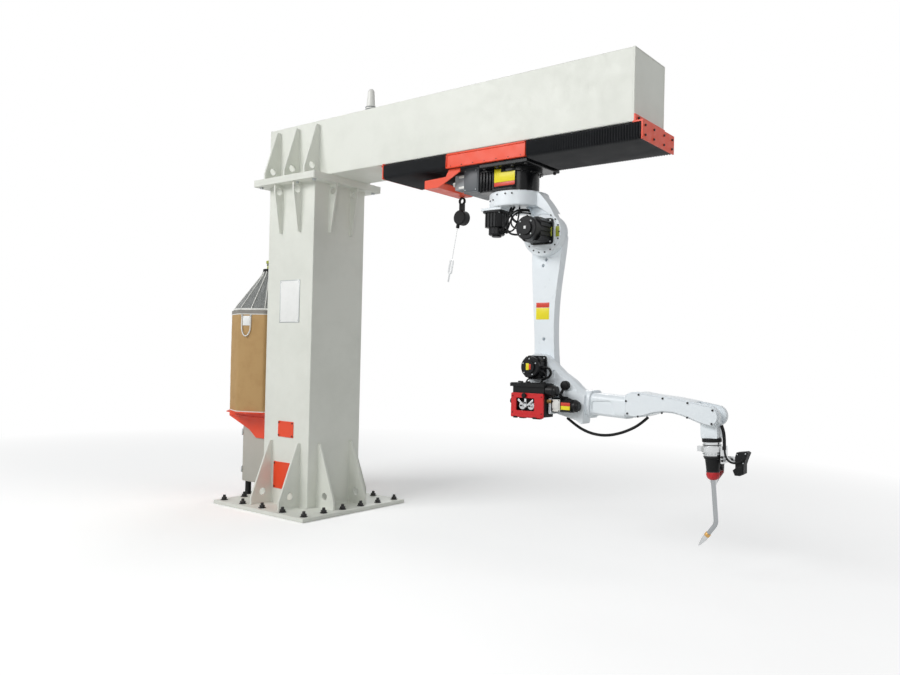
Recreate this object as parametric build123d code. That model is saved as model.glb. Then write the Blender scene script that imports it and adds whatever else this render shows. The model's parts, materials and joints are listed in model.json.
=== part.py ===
from build123d import *
import math
import os

# Ceiling-hung arc-welding arm on a carriage under a cantilever beam, millimetres.
# +X runs along the beam to its free end, +Y away from the working side, +Z up.
# The origin is the centre of the base plate's underside.

# Column
BASE_SIDE = 920
BASE_T = 25
BOLT_EDGE = 50
BOLTS_X = 5
BOLTS_Y = 6
BOLT_HOLE_R = 13
COLUMN_SIDE = 460
COLUMN_TOP = 2180
COLUMN_WALL = 12
FLANGE_SIDE = 620
FLANGE_T = 22
FLANGE_BOLT_R = 9

# Beam
BEAM_LEFT = -305
BEAM_END = 2485
BEAM_W = 350
BEAM_H = 372
BEAM_WALL = 10

# Stiffening plates
GUSSET_T = 14
BASE_GUSSET_H = 420
BASE_GUSSET_OUT = 165
BASE_GUSSET_AT = 142
FLANGE_GUSSET_H = 325
FLANGE_GUSSET_OUT = 68
FLANGE_GUSSET_AT = 95
SEAT_GUSSET_H = 340
SEAT_GUSSET_PITCH = 200
GUSSET_HOLE_R = 24

# Slide under the beam
RAIL_Y = 110
RAIL_W = 30
RAIL_H = 28
TRACK_HALF_W = 185
TRACK_H = 90
END_PLATE_T = 8
END_PLATE_LEFT = 800
END_PLATE_RIGHT = 2540
BELLOWS_FOLD = 16
BELLOWS_DEPTH = 13
BELLOWS_WALL = 3

# Carriage
CARRIAGE_LEFT = 1308
CARRIAGE_LENGTH = 550
CARRIAGE_T = 25
MOUNT_PLATE_X = 320
MOUNT_PLATE_Y = 340

# Arm joints
J1_X = 1700
J2_X = 1900
J2_Z = 1740
UPPER_LINK = 738
ELBOW_OUT = 296
FOREARM_REACH = 646
FOREARM_FRONT = 424
WRIST_Z = 790
ROLL_DROOP = 2.7
TORCH_LEAN = 3.2
FACE_GAP = 0.3

# Shared heights and stations worked out from the above
PLATE_TOP = BASE_T
BOLT_GRID = BASE_SIDE - 2 * BOLT_EDGE
FLANGE_TOP = COLUMN_TOP + FLANGE_T
BEAM_BOTTOM = FLANGE_TOP + FLANGE_T
BEAM_TOP = BEAM_BOTTOM + BEAM_H
TRACK_BOTTOM = BEAM_BOTTOM - TRACK_H
CARRIAGE_RIGHT = CARRIAGE_LEFT + CARRIAGE_LENGTH
CARRIAGE_TOP = TRACK_BOTTOM + CARRIAGE_T
MOUNT_PLATE_BOTTOM = TRACK_BOTTOM - CARRIAGE_T
BASE_FACE_Z = 1970
J3_Z = J2_Z - UPPER_LINK
WRIST_X = J2_X + ELBOW_OUT + FOREARM_REACH - 4

# Planes of the arm's layers across the arm
SWIVEL_Y = (-62, -12)
ARM_Y = (-12 + FACE_GAP, 42)
ELBOW_Y = (-84, -12)
FOREARM_Y = 62
FORK_Y = 37

# Round bosses at the joints
DISC_R = 170
DISC_H = 85
SHOULDER_R = 120
ARM_HEAD_R = 98
ARM_FOOT_R = 70
ELBOW_R = 74
KNUCKLE_R = 40


def block(x0, x1, y0, y1, z0, z1):
    return Pos((x0 + x1) / 2, (y0 + y1) / 2, (z0 + z1) / 2) * Box(x1 - x0, y1 - y0, z1 - z0)


def side_plate(sketch, y0, y1):
    """A sketch drawn as X to the right and Z up, given thickness from y0 to y1."""
    return extrude(Plane.XZ.offset(-y1) * sketch, y1 - y0)


def end_plate(sketch, x0, x1):
    """A sketch drawn as Y to the right and Z up, given thickness from x0 to x1."""
    return extrude(Plane.YZ.offset(x0) * sketch, x1 - x0)


def outline(*points):
    return make_face(Polyline(*points, close=True))


def rod(x, y, z, r, length, direction):
    """A round bar whose near end sits at the point and runs along the direction."""
    return Plane((x, y, z), z_dir=direction) * extrude(Circle(r), length)


def around_column(piece):
    return [Rot(0, 0, 90 * k) * piece for k in range(4)]


# Column weldment
def base_plate():
    plate = block(-BASE_SIDE / 2, BASE_SIDE / 2, -BASE_SIDE / 2, BASE_SIDE / 2, 0, BASE_T)
    plate = chamfer(plate.edges().group_by(Axis.Z)[-1], 3)
    half = BOLT_GRID / 2
    for k in range(BOLTS_X):
        for y in (-half, half):
            plate -= Pos(-half + k * BOLT_GRID / (BOLTS_X - 1), y, 0) * Cylinder(BOLT_HOLE_R, 3 * BASE_T)
    for k in range(1, BOLTS_Y - 1):
        for x in (-half, half):
            plate -= Pos(x, -half + k * BOLT_GRID / (BOLTS_Y - 1), 0) * Cylinder(BOLT_HOLE_R, 3 * BASE_T)
    return plate


def column():
    half = COLUMN_SIDE / 2
    inner = half - COLUMN_WALL
    tube = fillet(block(-half, half, -half, half, PLATE_TOP, COLUMN_TOP).edges().filter_by(Axis.Z), 6)
    return tube - block(-inner, inner, -inner, inner, PLATE_TOP - 1, COLUMN_TOP + 1)


def gusset(height, out, hole_x, hole_z, foot=50, tip=22):
    """One upright stiffener: back edge on x = 0, foot on z = 0, pierced near the foot."""
    face = outline((0, 0), (out, 0), (out, foot), (tip, height), (0, height))
    return side_plate(face - Pos(hole_x, hole_z) * Circle(GUSSET_HOLE_R), -GUSSET_T / 2, GUSSET_T / 2)


def column_gussets():
    half = COLUMN_SIDE / 2
    low = gusset(BASE_GUSSET_H, BASE_GUSSET_OUT, 75, 78)
    high = Pos(0, 0, COLUMN_TOP) * mirror(gusset(FLANGE_GUSSET_H, FLANGE_GUSSET_OUT, 34, 48), Plane.XY)
    pieces = []
    for y in (-BASE_GUSSET_AT, BASE_GUSSET_AT):
        pieces += around_column(Pos(half, y, PLATE_TOP) * low)
    for y in (-FLANGE_GUSSET_AT, FLANGE_GUSSET_AT):
        pieces += around_column(Pos(half, y, 0) * high)
    return Compound(children=pieces)


def cover_plate(width, height, centre_z):
    y = -COLUMN_SIDE / 2
    face = Pos(0, centre_z) * RectangleRounded(width, height, 6)
    return side_plate(face, y - 4, y)


def column_covers():
    return Compound(children=[cover_plate(155, 106, 528), cover_plate(230, 180, 214)])


def flange(z):
    half = FLANGE_SIDE / 2
    plate = block(-half, half, -half, half, z, z + FLANGE_T)
    plate = fillet(plate.edges().filter_by(Axis.Z), 12)
    for x in (-100, 100, 270):
        for y in (-270, 270):
            plate -= Pos(x, y, z) * Cylinder(FLANGE_BOLT_R, 4 * FLANGE_T)
            if x > 200:
                plate -= Pos(-x, y, z) * Cylinder(FLANGE_BOLT_R, 4 * FLANGE_T)
    return plate


def seat_gussets():
    out = (FLANGE_SIDE - BEAM_W) / 2 - 8
    one = gusset(SEAT_GUSSET_H, out, 62, 62, foot=40, tip=30)
    pieces = []
    for k in (-1, 0, 1):
        for turn in (90, -90):
            placed = Rot(0, 0, turn) * Pos(BEAM_W / 2, 0, BEAM_BOTTOM) * one
            pieces.append(Pos(k * SEAT_GUSSET_PITCH, 0, 0) * placed)
    return Compound(children=pieces)


# Beam
def beam():
    half = BEAM_W / 2
    inner = half - BEAM_WALL
    x0, x1 = BEAM_LEFT + BEAM_WALL, BEAM_END - BEAM_WALL
    bar = fillet(block(x0, x1, -half, half, BEAM_BOTTOM, BEAM_TOP).edges().filter_by(Axis.X), 6)
    return bar - block(x0 - 1, x1 + 1, -inner, inner, BEAM_BOTTOM + BEAM_WALL, BEAM_TOP - BEAM_WALL)


def beam_caps():
    half = BEAM_W / 2
    left = block(BEAM_LEFT, BEAM_LEFT + BEAM_WALL, -half, half, BEAM_BOTTOM, BEAM_TOP)
    right = block(BEAM_END - BEAM_WALL, BEAM_END, -half, half, BEAM_BOTTOM, BEAM_TOP)
    return Compound(children=[left, right])


def guide_rails():
    x0, x1 = END_PLATE_LEFT + 20, BEAM_END - 15
    z0, z1 = BEAM_BOTTOM - RAIL_H, BEAM_BOTTOM
    half = RAIL_W / 2
    waist = outline((-half, z1), (-half, z0 + 16), (-half + 6, z0 + 12), (-half, z0 + 8), (-half, z0),
                    (half, z0), (half, z0 + 8), (half - 6, z0 + 12), (half, z0 + 16), (half, z1))
    rails = [Pos(0, y, 0) * end_plate(waist, x0, x1) for y in (-RAIL_Y, RAIL_Y)]
    rack = block(x0, x1, 20, 45, BEAM_BOTTOM - 24, BEAM_BOTTOM)
    return Compound(children=rails + [rack])


def end_plate_left():
    w, x = TRACK_HALF_W + 3, END_PLATE_LEFT
    upright = block(x, x + END_PLATE_T, -w, w, TRACK_BOTTOM - 4, BEAM_BOTTOM)
    foot = block(x - 40, x, -BEAM_W / 2 + 20, BEAM_W / 2 - 20, BEAM_BOTTOM - END_PLATE_T, BEAM_BOTTOM)
    return upright + foot


def end_plate_right():
    w, x = TRACK_HALF_W + 3, END_PLATE_RIGHT
    half = BEAM_W / 2
    upright = block(x - END_PLATE_T, x, -w, w, TRACK_BOTTOM - 4, BEAM_BOTTOM)
    shelf = block(BEAM_END, x, -w, w, BEAM_BOTTOM - END_PLATE_T, BEAM_BOTTOM)
    lug = block(BEAM_END, BEAM_END + END_PLATE_T, -half, half, BEAM_BOTTOM, BEAM_BOTTOM + 38)
    return upright + shelf + lug


def bellows(x0, x1):
    """A folded cover, open upward round the rails, zigzag along the travel."""
    count = 2 * round((x1 - x0) / BELLOWS_FOLD)
    step = (x1 - x0) / count
    z_top = BEAM_BOTTOM - END_PLATE_T - 2
    out, low = TRACK_HALF_W - 5, TRACK_BOTTOM + 4

    def zigzag(base, sign):
        tops = [(x0 + k * step, base + sign * BELLOWS_DEPTH * (k % 2)) for k in range(count + 1)]
        inner = [(x, v + sign * BELLOWS_WALL) for x, v in reversed(tops)]
        return outline(*tops, *inner)

    floor = side_plate(zigzag(low, 1), -out, out)
    front = Pos(0, 0, low) * extrude(zigzag(-out, 1), z_top - low)
    rear = Pos(0, 0, low) * extrude(zigzag(out, -1), z_top - low)
    return floor + front + rear


def beacon():
    profile = outline((0, 0), (38, 0), (38, 8), (24, 14), (24, 60), (34, 66), (34, 78), (30, 84),
                      (22, 185), (12, 198), (0, 200))
    return Pos(500, 0, BEAM_TOP) * revolve(Plane.XZ * profile, Axis.Z)


# Wire supply on the column
DRUM_FLAT = 520
DRUM_CLEAR = 10
DRUM_X = -(COLUMN_SIDE + DRUM_FLAT) / 2 - DRUM_CLEAR
DRUM_BOTTOM = 617
DRUM_H = 720
HOOD_H = 300
TRAY_T = 8
BRACKET_HALF_W = 115


def drum_outline(across):
    return Rot(0, 0, 22.5) * RegularPolygon(across / 2 / math.cos(math.pi / 8), 8)


def wire_drum():
    body = Pos(DRUM_X, 0, DRUM_BOTTOM) * extrude(drum_outline(DRUM_FLAT), DRUM_H)
    return fillet(body.edges().filter_by(Axis.Z), 14)


def drum_hood():
    z = DRUM_BOTTOM + DRUM_H
    wall = outline((240, 0), (250, 0), (250, 14), (242, 20), (46, HOOD_H - 12), (46, HOOD_H),
                   (38, HOOD_H), (38, HOOD_H - 16), (236, 14), (240, 12))
    return Pos(DRUM_X, 0, z) * revolve(Plane.XZ * wall, Axis.Z)


def hood_outlet():
    z = DRUM_BOTTOM + DRUM_H + HOOD_H
    profile = outline((0, -8), (37.7, -8), (37.7, 0), (44, 0), (44, 10), (24, 14), (20, 52), (30, 56),
                      (30, 74), (14, 80), (0, 80))
    return Pos(DRUM_X, 0, z) * revolve(Plane.XZ * profile, Axis.Z)


def drum_bracket():
    wall_x = -COLUMN_SIDE / 2
    top = DRUM_BOTTOM - TRAY_T
    tray = Pos(DRUM_X, 0, top) * extrude(drum_outline(DRUM_FLAT + 14), TRAY_T)
    cheek = outline((wall_x, top), (DRUM_X - 276, top), (DRUM_X - 288, top - 45), (DRUM_X - 45, top - 132),
                    (DRUM_X + 30, top - 185), (wall_x, top - 185))
    cheeks = [side_plate(cheek, y, y + 8) for y in (-BRACKET_HALF_W, BRACKET_HALF_W - 8)]
    back = block(wall_x - 8, wall_x, -BRACKET_HALF_W, BRACKET_HALF_W, top - 185, top)
    lip = block(DRUM_X - 288, DRUM_X - 280, -BRACKET_HALF_W, BRACKET_HALF_W, top - 45, top)
    return tray + cheeks[0] + cheeks[1] + back + lip


def junction_box():
    wall_x = -COLUMN_SIDE / 2
    box = fillet(block(DRUM_X - 135, wall_x - 8, -104, 104, 98, 500).edges().filter_by(Axis.Z), 8)
    ears = block(wall_x - 8, wall_x, -70, 70, 150, 400)
    feet = [rod(DRUM_X - 100, y, 98, 20, 98, (0, 0, -1)) for y in (-72, 72)]
    return box + ears + feet[0] + feet[1]


# Carriage
def carriage_plate():
    plate = block(CARRIAGE_LEFT, CARRIAGE_RIGHT, -TRACK_HALF_W + 10, TRACK_HALF_W - 10,
                  TRACK_BOTTOM, CARRIAGE_TOP)
    rail_bottom = BEAM_BOTTOM - RAIL_H
    for x in (CARRIAGE_LEFT + 70, CARRIAGE_RIGHT - 70):
        for y in (-RAIL_Y, RAIL_Y):
            shoe = block(x - 50, x + 50, y - 35, y + 35, CARRIAGE_TOP, BEAM_BOTTOM - 6)
            shoe -= block(x - 60, x + 60, y - RAIL_W / 2 - FACE_GAP, y + RAIL_W / 2 + FACE_GAP,
                          rail_bottom - FACE_GAP, BEAM_BOTTOM)
            plate += shoe
    return plate


def carriage_skirts():
    w = TRACK_HALF_W
    z0, z1 = TRACK_BOTTOM, BEAM_BOTTOM - 5
    channel = outline((-w, z0), (-w, z1), (-w + 8, z1), (-w + 8, z0 + 28), (-w + 10, z0 + 28),
                      (-w + 10, z0))
    near = end_plate(channel, CARRIAGE_LEFT, CARRIAGE_RIGHT)
    return Compound(children=[near, mirror(near, Plane.XZ)])


def robot_mount_plate():
    x1 = CARRIAGE_RIGHT
    plate = block(x1 - MOUNT_PLATE_X, x1, -MOUNT_PLATE_Y / 2, MOUNT_PLATE_Y / 2,
                  MOUNT_PLATE_BOTTOM, TRACK_BOTTOM)
    return chamfer(plate.edges().group_by(Axis.Z)[0], 3)


def robot_base():
    z0, z1 = BASE_FACE_Z, MOUNT_PLATE_BOTTOM
    hub = Pos(J1_X, 0, (z0 + z1) / 2) * Cylinder(112, z1 - z0)
    foot = Pos(J1_X, 0, z1 - 12) * Cylinder(128, 24)
    body = fillet(block(J1_X - 205, J1_X, -112, 112, z0 + 14, z1).edges().filter_by(Axis.Z), 18)
    return hub + foot + body


def connector_box():
    x1 = J1_X - 205
    z0, z1 = 1992, TRACK_BOTTOM
    box = fillet(block(x1 - 106, x1, -120, 120, z0, z1).edges().filter_by(Axis.Z), 5)
    return box


def cable_connectors():
    x1 = J1_X - 311
    pieces = []
    for y in (-78, 22):
        hood = block(x1 - 82, x1, y - 32, y + 32, 2018, 2104)
        hood = chamfer(hood.edges().group_by(Axis.X)[0], 14)
        pieces.append(hood)
    return Compound(children=pieces)


HOSE_BRACKET_Y = 165
HANGER_X = 1176
HANGER_Y = 140


def hose_bracket():
    z = TRACK_BOTTOM
    cheek = outline((1395, z), (CARRIAGE_LEFT + 8, z), (1290, z - 42), (1130, z - 48), (1130, z - 98),
                    (1230, z - 98), (1275, z - 80), (1395, z - 22))
    w = HOSE_BRACKET_Y
    cheeks = [side_plate(cheek, y, y + 6) for y in (-w, w - 6)]
    bridge = outline((1130, z - 98), (1230, z - 98), (1275, z - 80), (1273, z - 74), (1229, z - 92),
                     (1130, z - 92))
    end = block(1130, 1136, -w, w, z - 98, z - 48)
    return cheeks[0] + cheeks[1] + side_plate(bridge, -w, w) + end


HANGER_Z = TRACK_BOTTOM - 98
BALANCER_Z = HANGER_Z - 128
WIRE_LEAN = math.tan(math.radians(11))
WIRE_LENGTH = 200


def spring_balancer():
    case = side_plate(Pos(HANGER_X, BALANCER_Z) * Circle(46), HANGER_Y - 30, HANGER_Y + 30)
    case = fillet(case.edges(), 9)
    snout = rod(HANGER_X - 26, HANGER_Y, BALANCER_Z - 28, 11, 34, (-WIRE_LEAN, 0, -1))
    neck = block(HANGER_X - 14, HANGER_X + 14, HANGER_Y - 12, HANGER_Y + 12, BALANCER_Z + 40, HANGER_Z - 40)
    eye = side_plate(Pos(HANGER_X, HANGER_Z - 24) * (Circle(24) - Circle(14)), HANGER_Y - 6, HANGER_Y + 6)
    return case + snout + neck + eye


def balancer_hook():
    lean = math.radians(11)
    start = (HANGER_X - 26 - 34 * math.sin(lean), BALANCER_Z - 28 - 34 * math.cos(lean))

    def down(distance):
        return start[0] - distance * math.sin(lean), start[1] - distance * math.cos(lean)

    wire = rod(start[0], HANGER_Y, start[1], 2, WIRE_LENGTH, (-WIRE_LEAN, 0, -1))
    ring = SlotOverall(92, 30) - SlotOverall(76, 14)
    link = side_plate(Pos(*down(WIRE_LENGTH + 44)) * Rot(0, 0, 90 - 11) * ring, HANGER_Y - 4, HANGER_Y + 4)
    x, z = down(WIRE_LENGTH + 88)
    claw = rod(x, HANGER_Y, z, 5, 52, (-WIRE_LEAN, 0, -1))
    return wire + link + claw


# Turning column of the arm
SWIVEL_MOTOR = (J1_X - 88, -90)


def swivel_housing():
    """A disc under the base with an arched side arm that reaches down to the shoulder."""
    z0, z1 = BASE_FACE_Z - DISC_H, BASE_FACE_Z
    disc = fillet((Pos(J1_X, 0, (z0 + z1) / 2) * Cylinder(DISC_R, DISC_H)).edges(), 10)
    y0, y1 = SWIVEL_Y
    cx, cz = J2_X - 4, J2_Z - 10
    crest = Spline((J1_X + 164, z1 - 6), (J2_X + 42, J2_Z + 135), (J2_X + 77, J2_Z + 78), (cx + SHOULDER_R, cz))
    arch = make_face([crest, Polyline(crest @ 1, (J2_X - 56, J2_Z - 90), (J2_X - 78, J2_Z + 80),
                                      (J2_X - 118, z0 + 12), (J1_X + 40, z0 + 30), crest @ 0)])
    boss = Pos(cx, cz) * Circle(SHOULDER_R)
    front = side_plate(arch, y0, y1) + side_plate(boss, y0, y1)
    web = side_plate(arch - Pos(J2_X, J2_Z) * Circle(ARM_HEAD_R + 22), y1, y1 + 27)
    pocket = outline((J2_X - 104, J2_Z + 154), (J2_X - 62, J2_Z + 158), (J2_X - 8, J2_Z + 126),
                     (J2_X + 38, J2_Z + 92), (J2_X - 72, J2_Z + 92)) - Pos(J2_X, J2_Z) * Circle(100)
    front -= side_plate(pocket, y0 - 1, y0 + 28)
    groove = Pos(J2_X, J2_Z) * (Circle(98) - Circle(94))
    front -= side_plate(groove, y0 - 1, y0 + 3)
    x, y = SWIVEL_MOTOR
    pad = block(x - 70, x + 66, y - 60, y + 60, z0 - 14, z0)
    return disc + front + web + pad


def finned(side, grooves, depth=6, width=6):
    """A square motor section whose four faces carry cooling grooves."""
    section = chamfer(Rectangle(side, side).vertices(), side * 0.16)
    pitch = side * 0.58 / max(grooves - 1, 1)
    for turn in range(4):
        for k in range(grooves):
            shift = (k - (grooves - 1) / 2) * pitch
            section -= Rot(0, 0, 90 * turn) * Pos(side / 2, shift) * Rectangle(2 * depth, width)
    return section


def motor(length, side, bell_r, bell_length, grooves=4):
    """A servo motor along +Z: eared flange, finned body, round bell and a small rear cap."""
    flange_t, cap_t = 12, 9
    ears = fillet(Rectangle(side + 12, side + 12).vertices(), 16)
    body = Pos(0, 0, flange_t) * extrude(finned(side, grooves), length - bell_length - flange_t)
    bell = Pos(0, 0, length - bell_length) * extrude(Circle(bell_r), bell_length - cap_t)
    bell = chamfer(bell.faces().sort_by(Axis.Z)[-1].edges(), 5)
    cap = Pos(0, 0, length - cap_t) * extrude(Circle(bell_r * 0.58), cap_t)
    return extrude(ears, flange_t) + body + bell + cap


def plug(x, y, z, direction, r=11, length=34):
    """A round cable connector with its coupling ring and a slim boot."""
    boot = Pos(0, 0, length * 0.55) * extrude(Circle(r * 0.7), length * 0.45)
    return Plane((x, y, z), z_dir=direction) * (extrude(Circle(r), length * 0.55) + boot)


def swivel_motor():
    x, y = SWIVEL_MOTOR
    z = BASE_FACE_Z - DISC_H - 14
    body = Pos(x, y, z) * Rot(180, 0, 0) * motor(144, 112, 46, 52)
    return body + plug(x + 42, y - 18, z - 108, (1, -0.35, -0.3)) + plug(x + 42, y + 18, z - 108, (1, 0.2, -0.3))


def shoulder_motor():
    face = Plane((J2_X, SWIVEL_Y[0], J2_Z), x_dir=(1, 0, 0), z_dir=(0, -1, 0))
    body = face * motor(176, 128, 64, 58)
    y = SWIVEL_Y[0] - 96
    return body + plug(J2_X - 60, y, J2_Z + 26, (-1, -0.1, 0.3)) + plug(J2_X - 60, y, J2_Z - 24, (-1, -0.1, 0.1))


def swivel_cables():
    lead = [(1688, -120, 1752.5), (1706, -126, 1753), (1720, -128, 1772), (1728, -126, 1804),
            (1742, -118, 1836), (1768, -104, 1856), (1796, -86, 1862), (1814, -65.5, 1862)]
    return sweep_hose(lead, 4.5)


# Upper link
def lower_arm():
    y0, y1 = ARM_Y
    head, foot = ARM_HEAD_R, ARM_FOOT_R
    left = Spline((J2_X - 98, J2_Z - 30), (J2_X - 97, J2_Z - 110), (J2_X - 88, J2_Z - 310),
                  (J2_X - 70, J2_Z - 560), (J2_X - 67, J3_Z + 20))
    right = Spline((J2_X + 102, J2_Z - 20), (J2_X + 88, J2_Z - 150), (J2_X + 66, J2_Z - 310),
                   (J2_X + 56, J2_Z - 560), (J2_X + 67, J3_Z + 20))
    web = make_face([left, Line(left @ 1, right @ 1), right, Line(right @ 0, left @ 0)])
    body = side_plate(web, y0, y1)
    body += side_plate(Pos(J2_X, J2_Z) * Circle(head), y0, y1)
    body += side_plate(Pos(J2_X, J3_Z) * Circle(foot), y0, y1)
    for x, z in ((J2_X - 4, J2_Z - 148), (J2_X - 23, J2_Z - 179), (J2_X - 8, J3_Z + 154)):
        body -= side_plate(Pos(x, z) * Circle(9), y0 - 1, y0 + 22)
    for z, r in ((J2_Z, head - 16), (J3_Z, foot - 12)):
        body += side_plate(Pos(J2_X, z) * Circle(r), y1, y1 + 8)
    hollow = outline((J2_X - 50, J2_Z - 150), (J2_X + 50, J2_Z - 150), (J2_X + 30, J3_Z + 130), (J2_X - 34, J3_Z + 130))
    hollow = fillet(hollow.vertices(), 24)
    return body - side_plate(hollow, y1 - 7, y1 + 1)


# Elbow
def elbow_housing():
    y0, y1 = ELBOW_Y
    x, z = J2_X, J3_Z
    flange_x = x + ELBOW_OUT + 8
    upper = Spline((x + 42, z + 60), (x + 112, z + 5), (x + 152, z - 28), (x + 213, z - 66), (x + 262, z - 108),
                   (flange_x, z - 126))
    lower = Polyline(upper @ 1, (flange_x, z - 282), (x + 274, z - 290), (x + 246, z - 272), (x + 137, z - 246),
                     (x - 20, z - 190), (x - 66, z - 30), upper @ 0)
    wing = make_face([upper, lower])
    plate = side_plate(wing, y0, y1)
    plate = chamfer(plate.faces().sort_by(Axis.Y)[0].edges().filter_by(GeomType.BSPLINE), 34, 18)
    boss = side_plate(Pos(x, z) * Circle(ELBOW_R), y0, y1)
    triangle = outline((x + 94, z - 14), (x + 150, z - 16), (x + 196, z - 52), (x + 262, z - 118),
                       (x + 120, z - 118))
    pocket = side_plate(fillet(triangle.vertices(), 9), y0 - 1, y0 + 6)
    root = outline((x + 196, z - 112), (flange_x, z - 136), (flange_x, z - 262), (x + 206, z - 256), (x + 176, z - 200))
    neck = roll_plane() * Pos(0, 0, -64) * extrude(RectangleRounded(146, 132, 44), 64)
    motor_seat = block(x + 126, x + 142, -164, y0 + 20, z - 242, z - 159)
    lug = side_plate(Pos(x + 258, z - 272) * SlotOverall(58, 32), -38, -4)
    body = plate + boss + side_plate(root, y1, 66) + neck + motor_seat + lug - pocket
    body -= side_plate(Pos(x + 258, z - 277) * Circle(6), -40, 0)
    return body - roll_plane() * Pos(0, 0, -FACE_GAP) * extrude(Rectangle(400, 400), 60)


def elbow_motor():
    face = Plane((J2_X, ELBOW_Y[0], J3_Z), x_dir=(1, 0, 0), z_dir=(0, -1, 0))
    return face * motor(88, 112, 57, 34, 3) + plug(J2_X + 56, ELBOW_Y[0] - 44, J3_Z - 2, (1, 0, 0.1), 10, 26)


def roll_motor():
    return Plane((J2_X + 142, -126, J3_Z - 196), x_dir=(0, 1, 0), z_dir=(1, 0, 0)) * motor(146, 66, 31, 30, 2)


CABLE_CAP = (J2_X + 180, J3_Z - 92)


def elbow_cables():
    """The elbow motor's lead down to the feeder, and the roll motor's lead with its round cap."""
    y = ELBOW_Y[0]
    first = [(J2_X + 83.4, y - 44, J3_Z + 1), (J2_X + 104, y - 42, J3_Z - 6), (J2_X + 112, y - 38, J3_Z - 28),
             (J2_X + 98, y - 34, J3_Z - 50), (J2_X + 72, y - 32, J3_Z - 60), (J2_X + 52, y - 34, J3_Z - 68),
             (J2_X + 48, y - 36, J3_Z - 84.7)]
    x, z = CABLE_CAP
    cap = side_plate(Pos(x, z) * Circle(24), y - 16, y + 6)
    second = [(x - 4.6, y - 15.6, z - 26), (x - 10, y - 23, z - 40), (x - 8, y - 34, z - 54), (x + 12, y - 42, z - 62),
              (x + 40, y - 42, z - 62)]
    return Compound(children=[sweep_hose(first, 5), cap + rod(x, y - 8, z - 14, 5, 14, (-0.3, -0.5, -0.8)),
                              sweep_hose(second, 5)])


FEEDER_X = (J2_X - 80, J2_X + 122)
FEEDER_Y = (-212, -108)
FEEDER_Z = (735, 916)
FEEDER_LID_T = 18
DOOR_T = 10
DOOR_TOP_DROP = 51
ROLL_AT = (62, 116)


def feeder_case():
    x0, x1 = FEEDER_X
    y0, y1 = FEEDER_Y
    z0, z1 = FEEDER_Z
    case = block(x0 + 4, x1 - 2, y0 + DOOR_T, y1, z0 + 6, z1 - FEEDER_LID_T)
    case -= block(x0 + 30, x1 - 53, y0, y0 + DOOR_T + 22, z0 + 34, z0 + 106)
    lid = block(x0 - 14, x1 + 2, y0 + 2, y1, z1 - FEEDER_LID_T, z1)
    lid = fillet(lid.edges().filter_by(Axis.Z), 8)
    arm = block(x0 + 60, x1 - 50, y1, ELBOW_Y[0], z0 + 84, z1 - 30)
    inlet = rod(x0 + 4, y0 + 56, z0 + 82, 14, 40, (-1, 0, 0))
    feet = [block(x, x + 30, y0 + 16, y0 + 40, z0 - 6, z0 + 6) for x in (x0 + 44, x1 - 60)]
    return case + lid + arm + inlet + feet[0] + feet[1]


def feeder_door():
    x0, x1 = FEEDER_X
    y0 = FEEDER_Y[0]
    z0, z1 = FEEDER_Z
    door = block(x0, x1, y0, y0 + DOOR_T, z0, z1 - DOOR_TOP_DROP)
    door = fillet(door.edges().filter_by(Axis.Y), 8)
    window = block(x0 + 32, x1 - 55, y0 - 5, y0 + 20, z0 + 36, z0 + 104)
    door -= fillet(window.edges().filter_by(Axis.Y), 6)
    return door + block(x0 + 10, x1 - 10, y0 - 5, y0, z0 + 4, z0 + 14)


def drive_rolls():
    y0 = FEEDER_Y[0]
    profile = outline((0, 0), (20, 0), (20, 6), (17, 8), (20, 10), (20, 16), (8, 16), (8, 24), (0, 24))
    roll = Rot(90, 0, 0) * revolve(Plane.XZ * profile, Axis.Z)
    back = y0 + DOOR_T + 22
    return Compound(children=[Pos(FEEDER_X[0] + x, back, FEEDER_Z[0] + 62) * roll for x in ROLL_AT])


def feeder_motor():
    x, z = FEEDER_X[1] + 2, FEEDER_Z[1] - 35
    profile = outline((0, 0), (31, 0), (31, 40), (26, 46), (26, 56), (14, 60), (0, 60))
    return Plane((x, FEEDER_Y[0] + 40, z), z_dir=(1, 0, 0)) * revolve(Plane.XZ * profile, Axis.Z)


# Forearm
def along_roll(distance, up=0):
    droop = math.radians(ROLL_DROOP)
    return (WRIST_X - distance * math.cos(droop) + up * math.sin(droop),
            WRIST_Z + distance * math.sin(droop) + up * math.cos(droop))


def roll_plane():
    """The seat between elbow and forearm, square to the roll axis."""
    droop = math.radians(ROLL_DROOP)
    x, z = along_roll(FOREARM_REACH)
    return Plane((x, 0, z), x_dir=(0, 1, 0), z_dir=(math.cos(droop), 0, -math.sin(droop)))


def forearm_outline(inset=0):
    """Side view of the forearm's front half, from the cover's rear edge to the round nose."""
    x, z, n = WRIST_X, WRIST_Z, inset
    top = Spline((x - FOREARM_FRONT + n, z + 84 - n), (x - 396 + n / 2, z + 99 - n), (x - 300, z + 96 - n), (x - 188, z + 86 - n),
                 (x - 78, z + 71 - n), (x + 24 - n / 3, z + 54 - n))
    nose = ThreePointArc(top @ 1, (x + 61 - n, z + 10), (x + 30 - n / 2, z - 42 + n))
    under = Spline(nose @ 1, (x - 22, z - 33 + n), (x - 92, z - 9 + n), (x - 186, z + 10 + n), (x - 271, z + n),
                   (x - 334, z - 20 + n), (x - 400, z - 22 + n), (x - FOREARM_FRONT + n, z - 14 + n))
    return make_face([top, nose, under, Line(under @ 1, top @ 0)])


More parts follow.
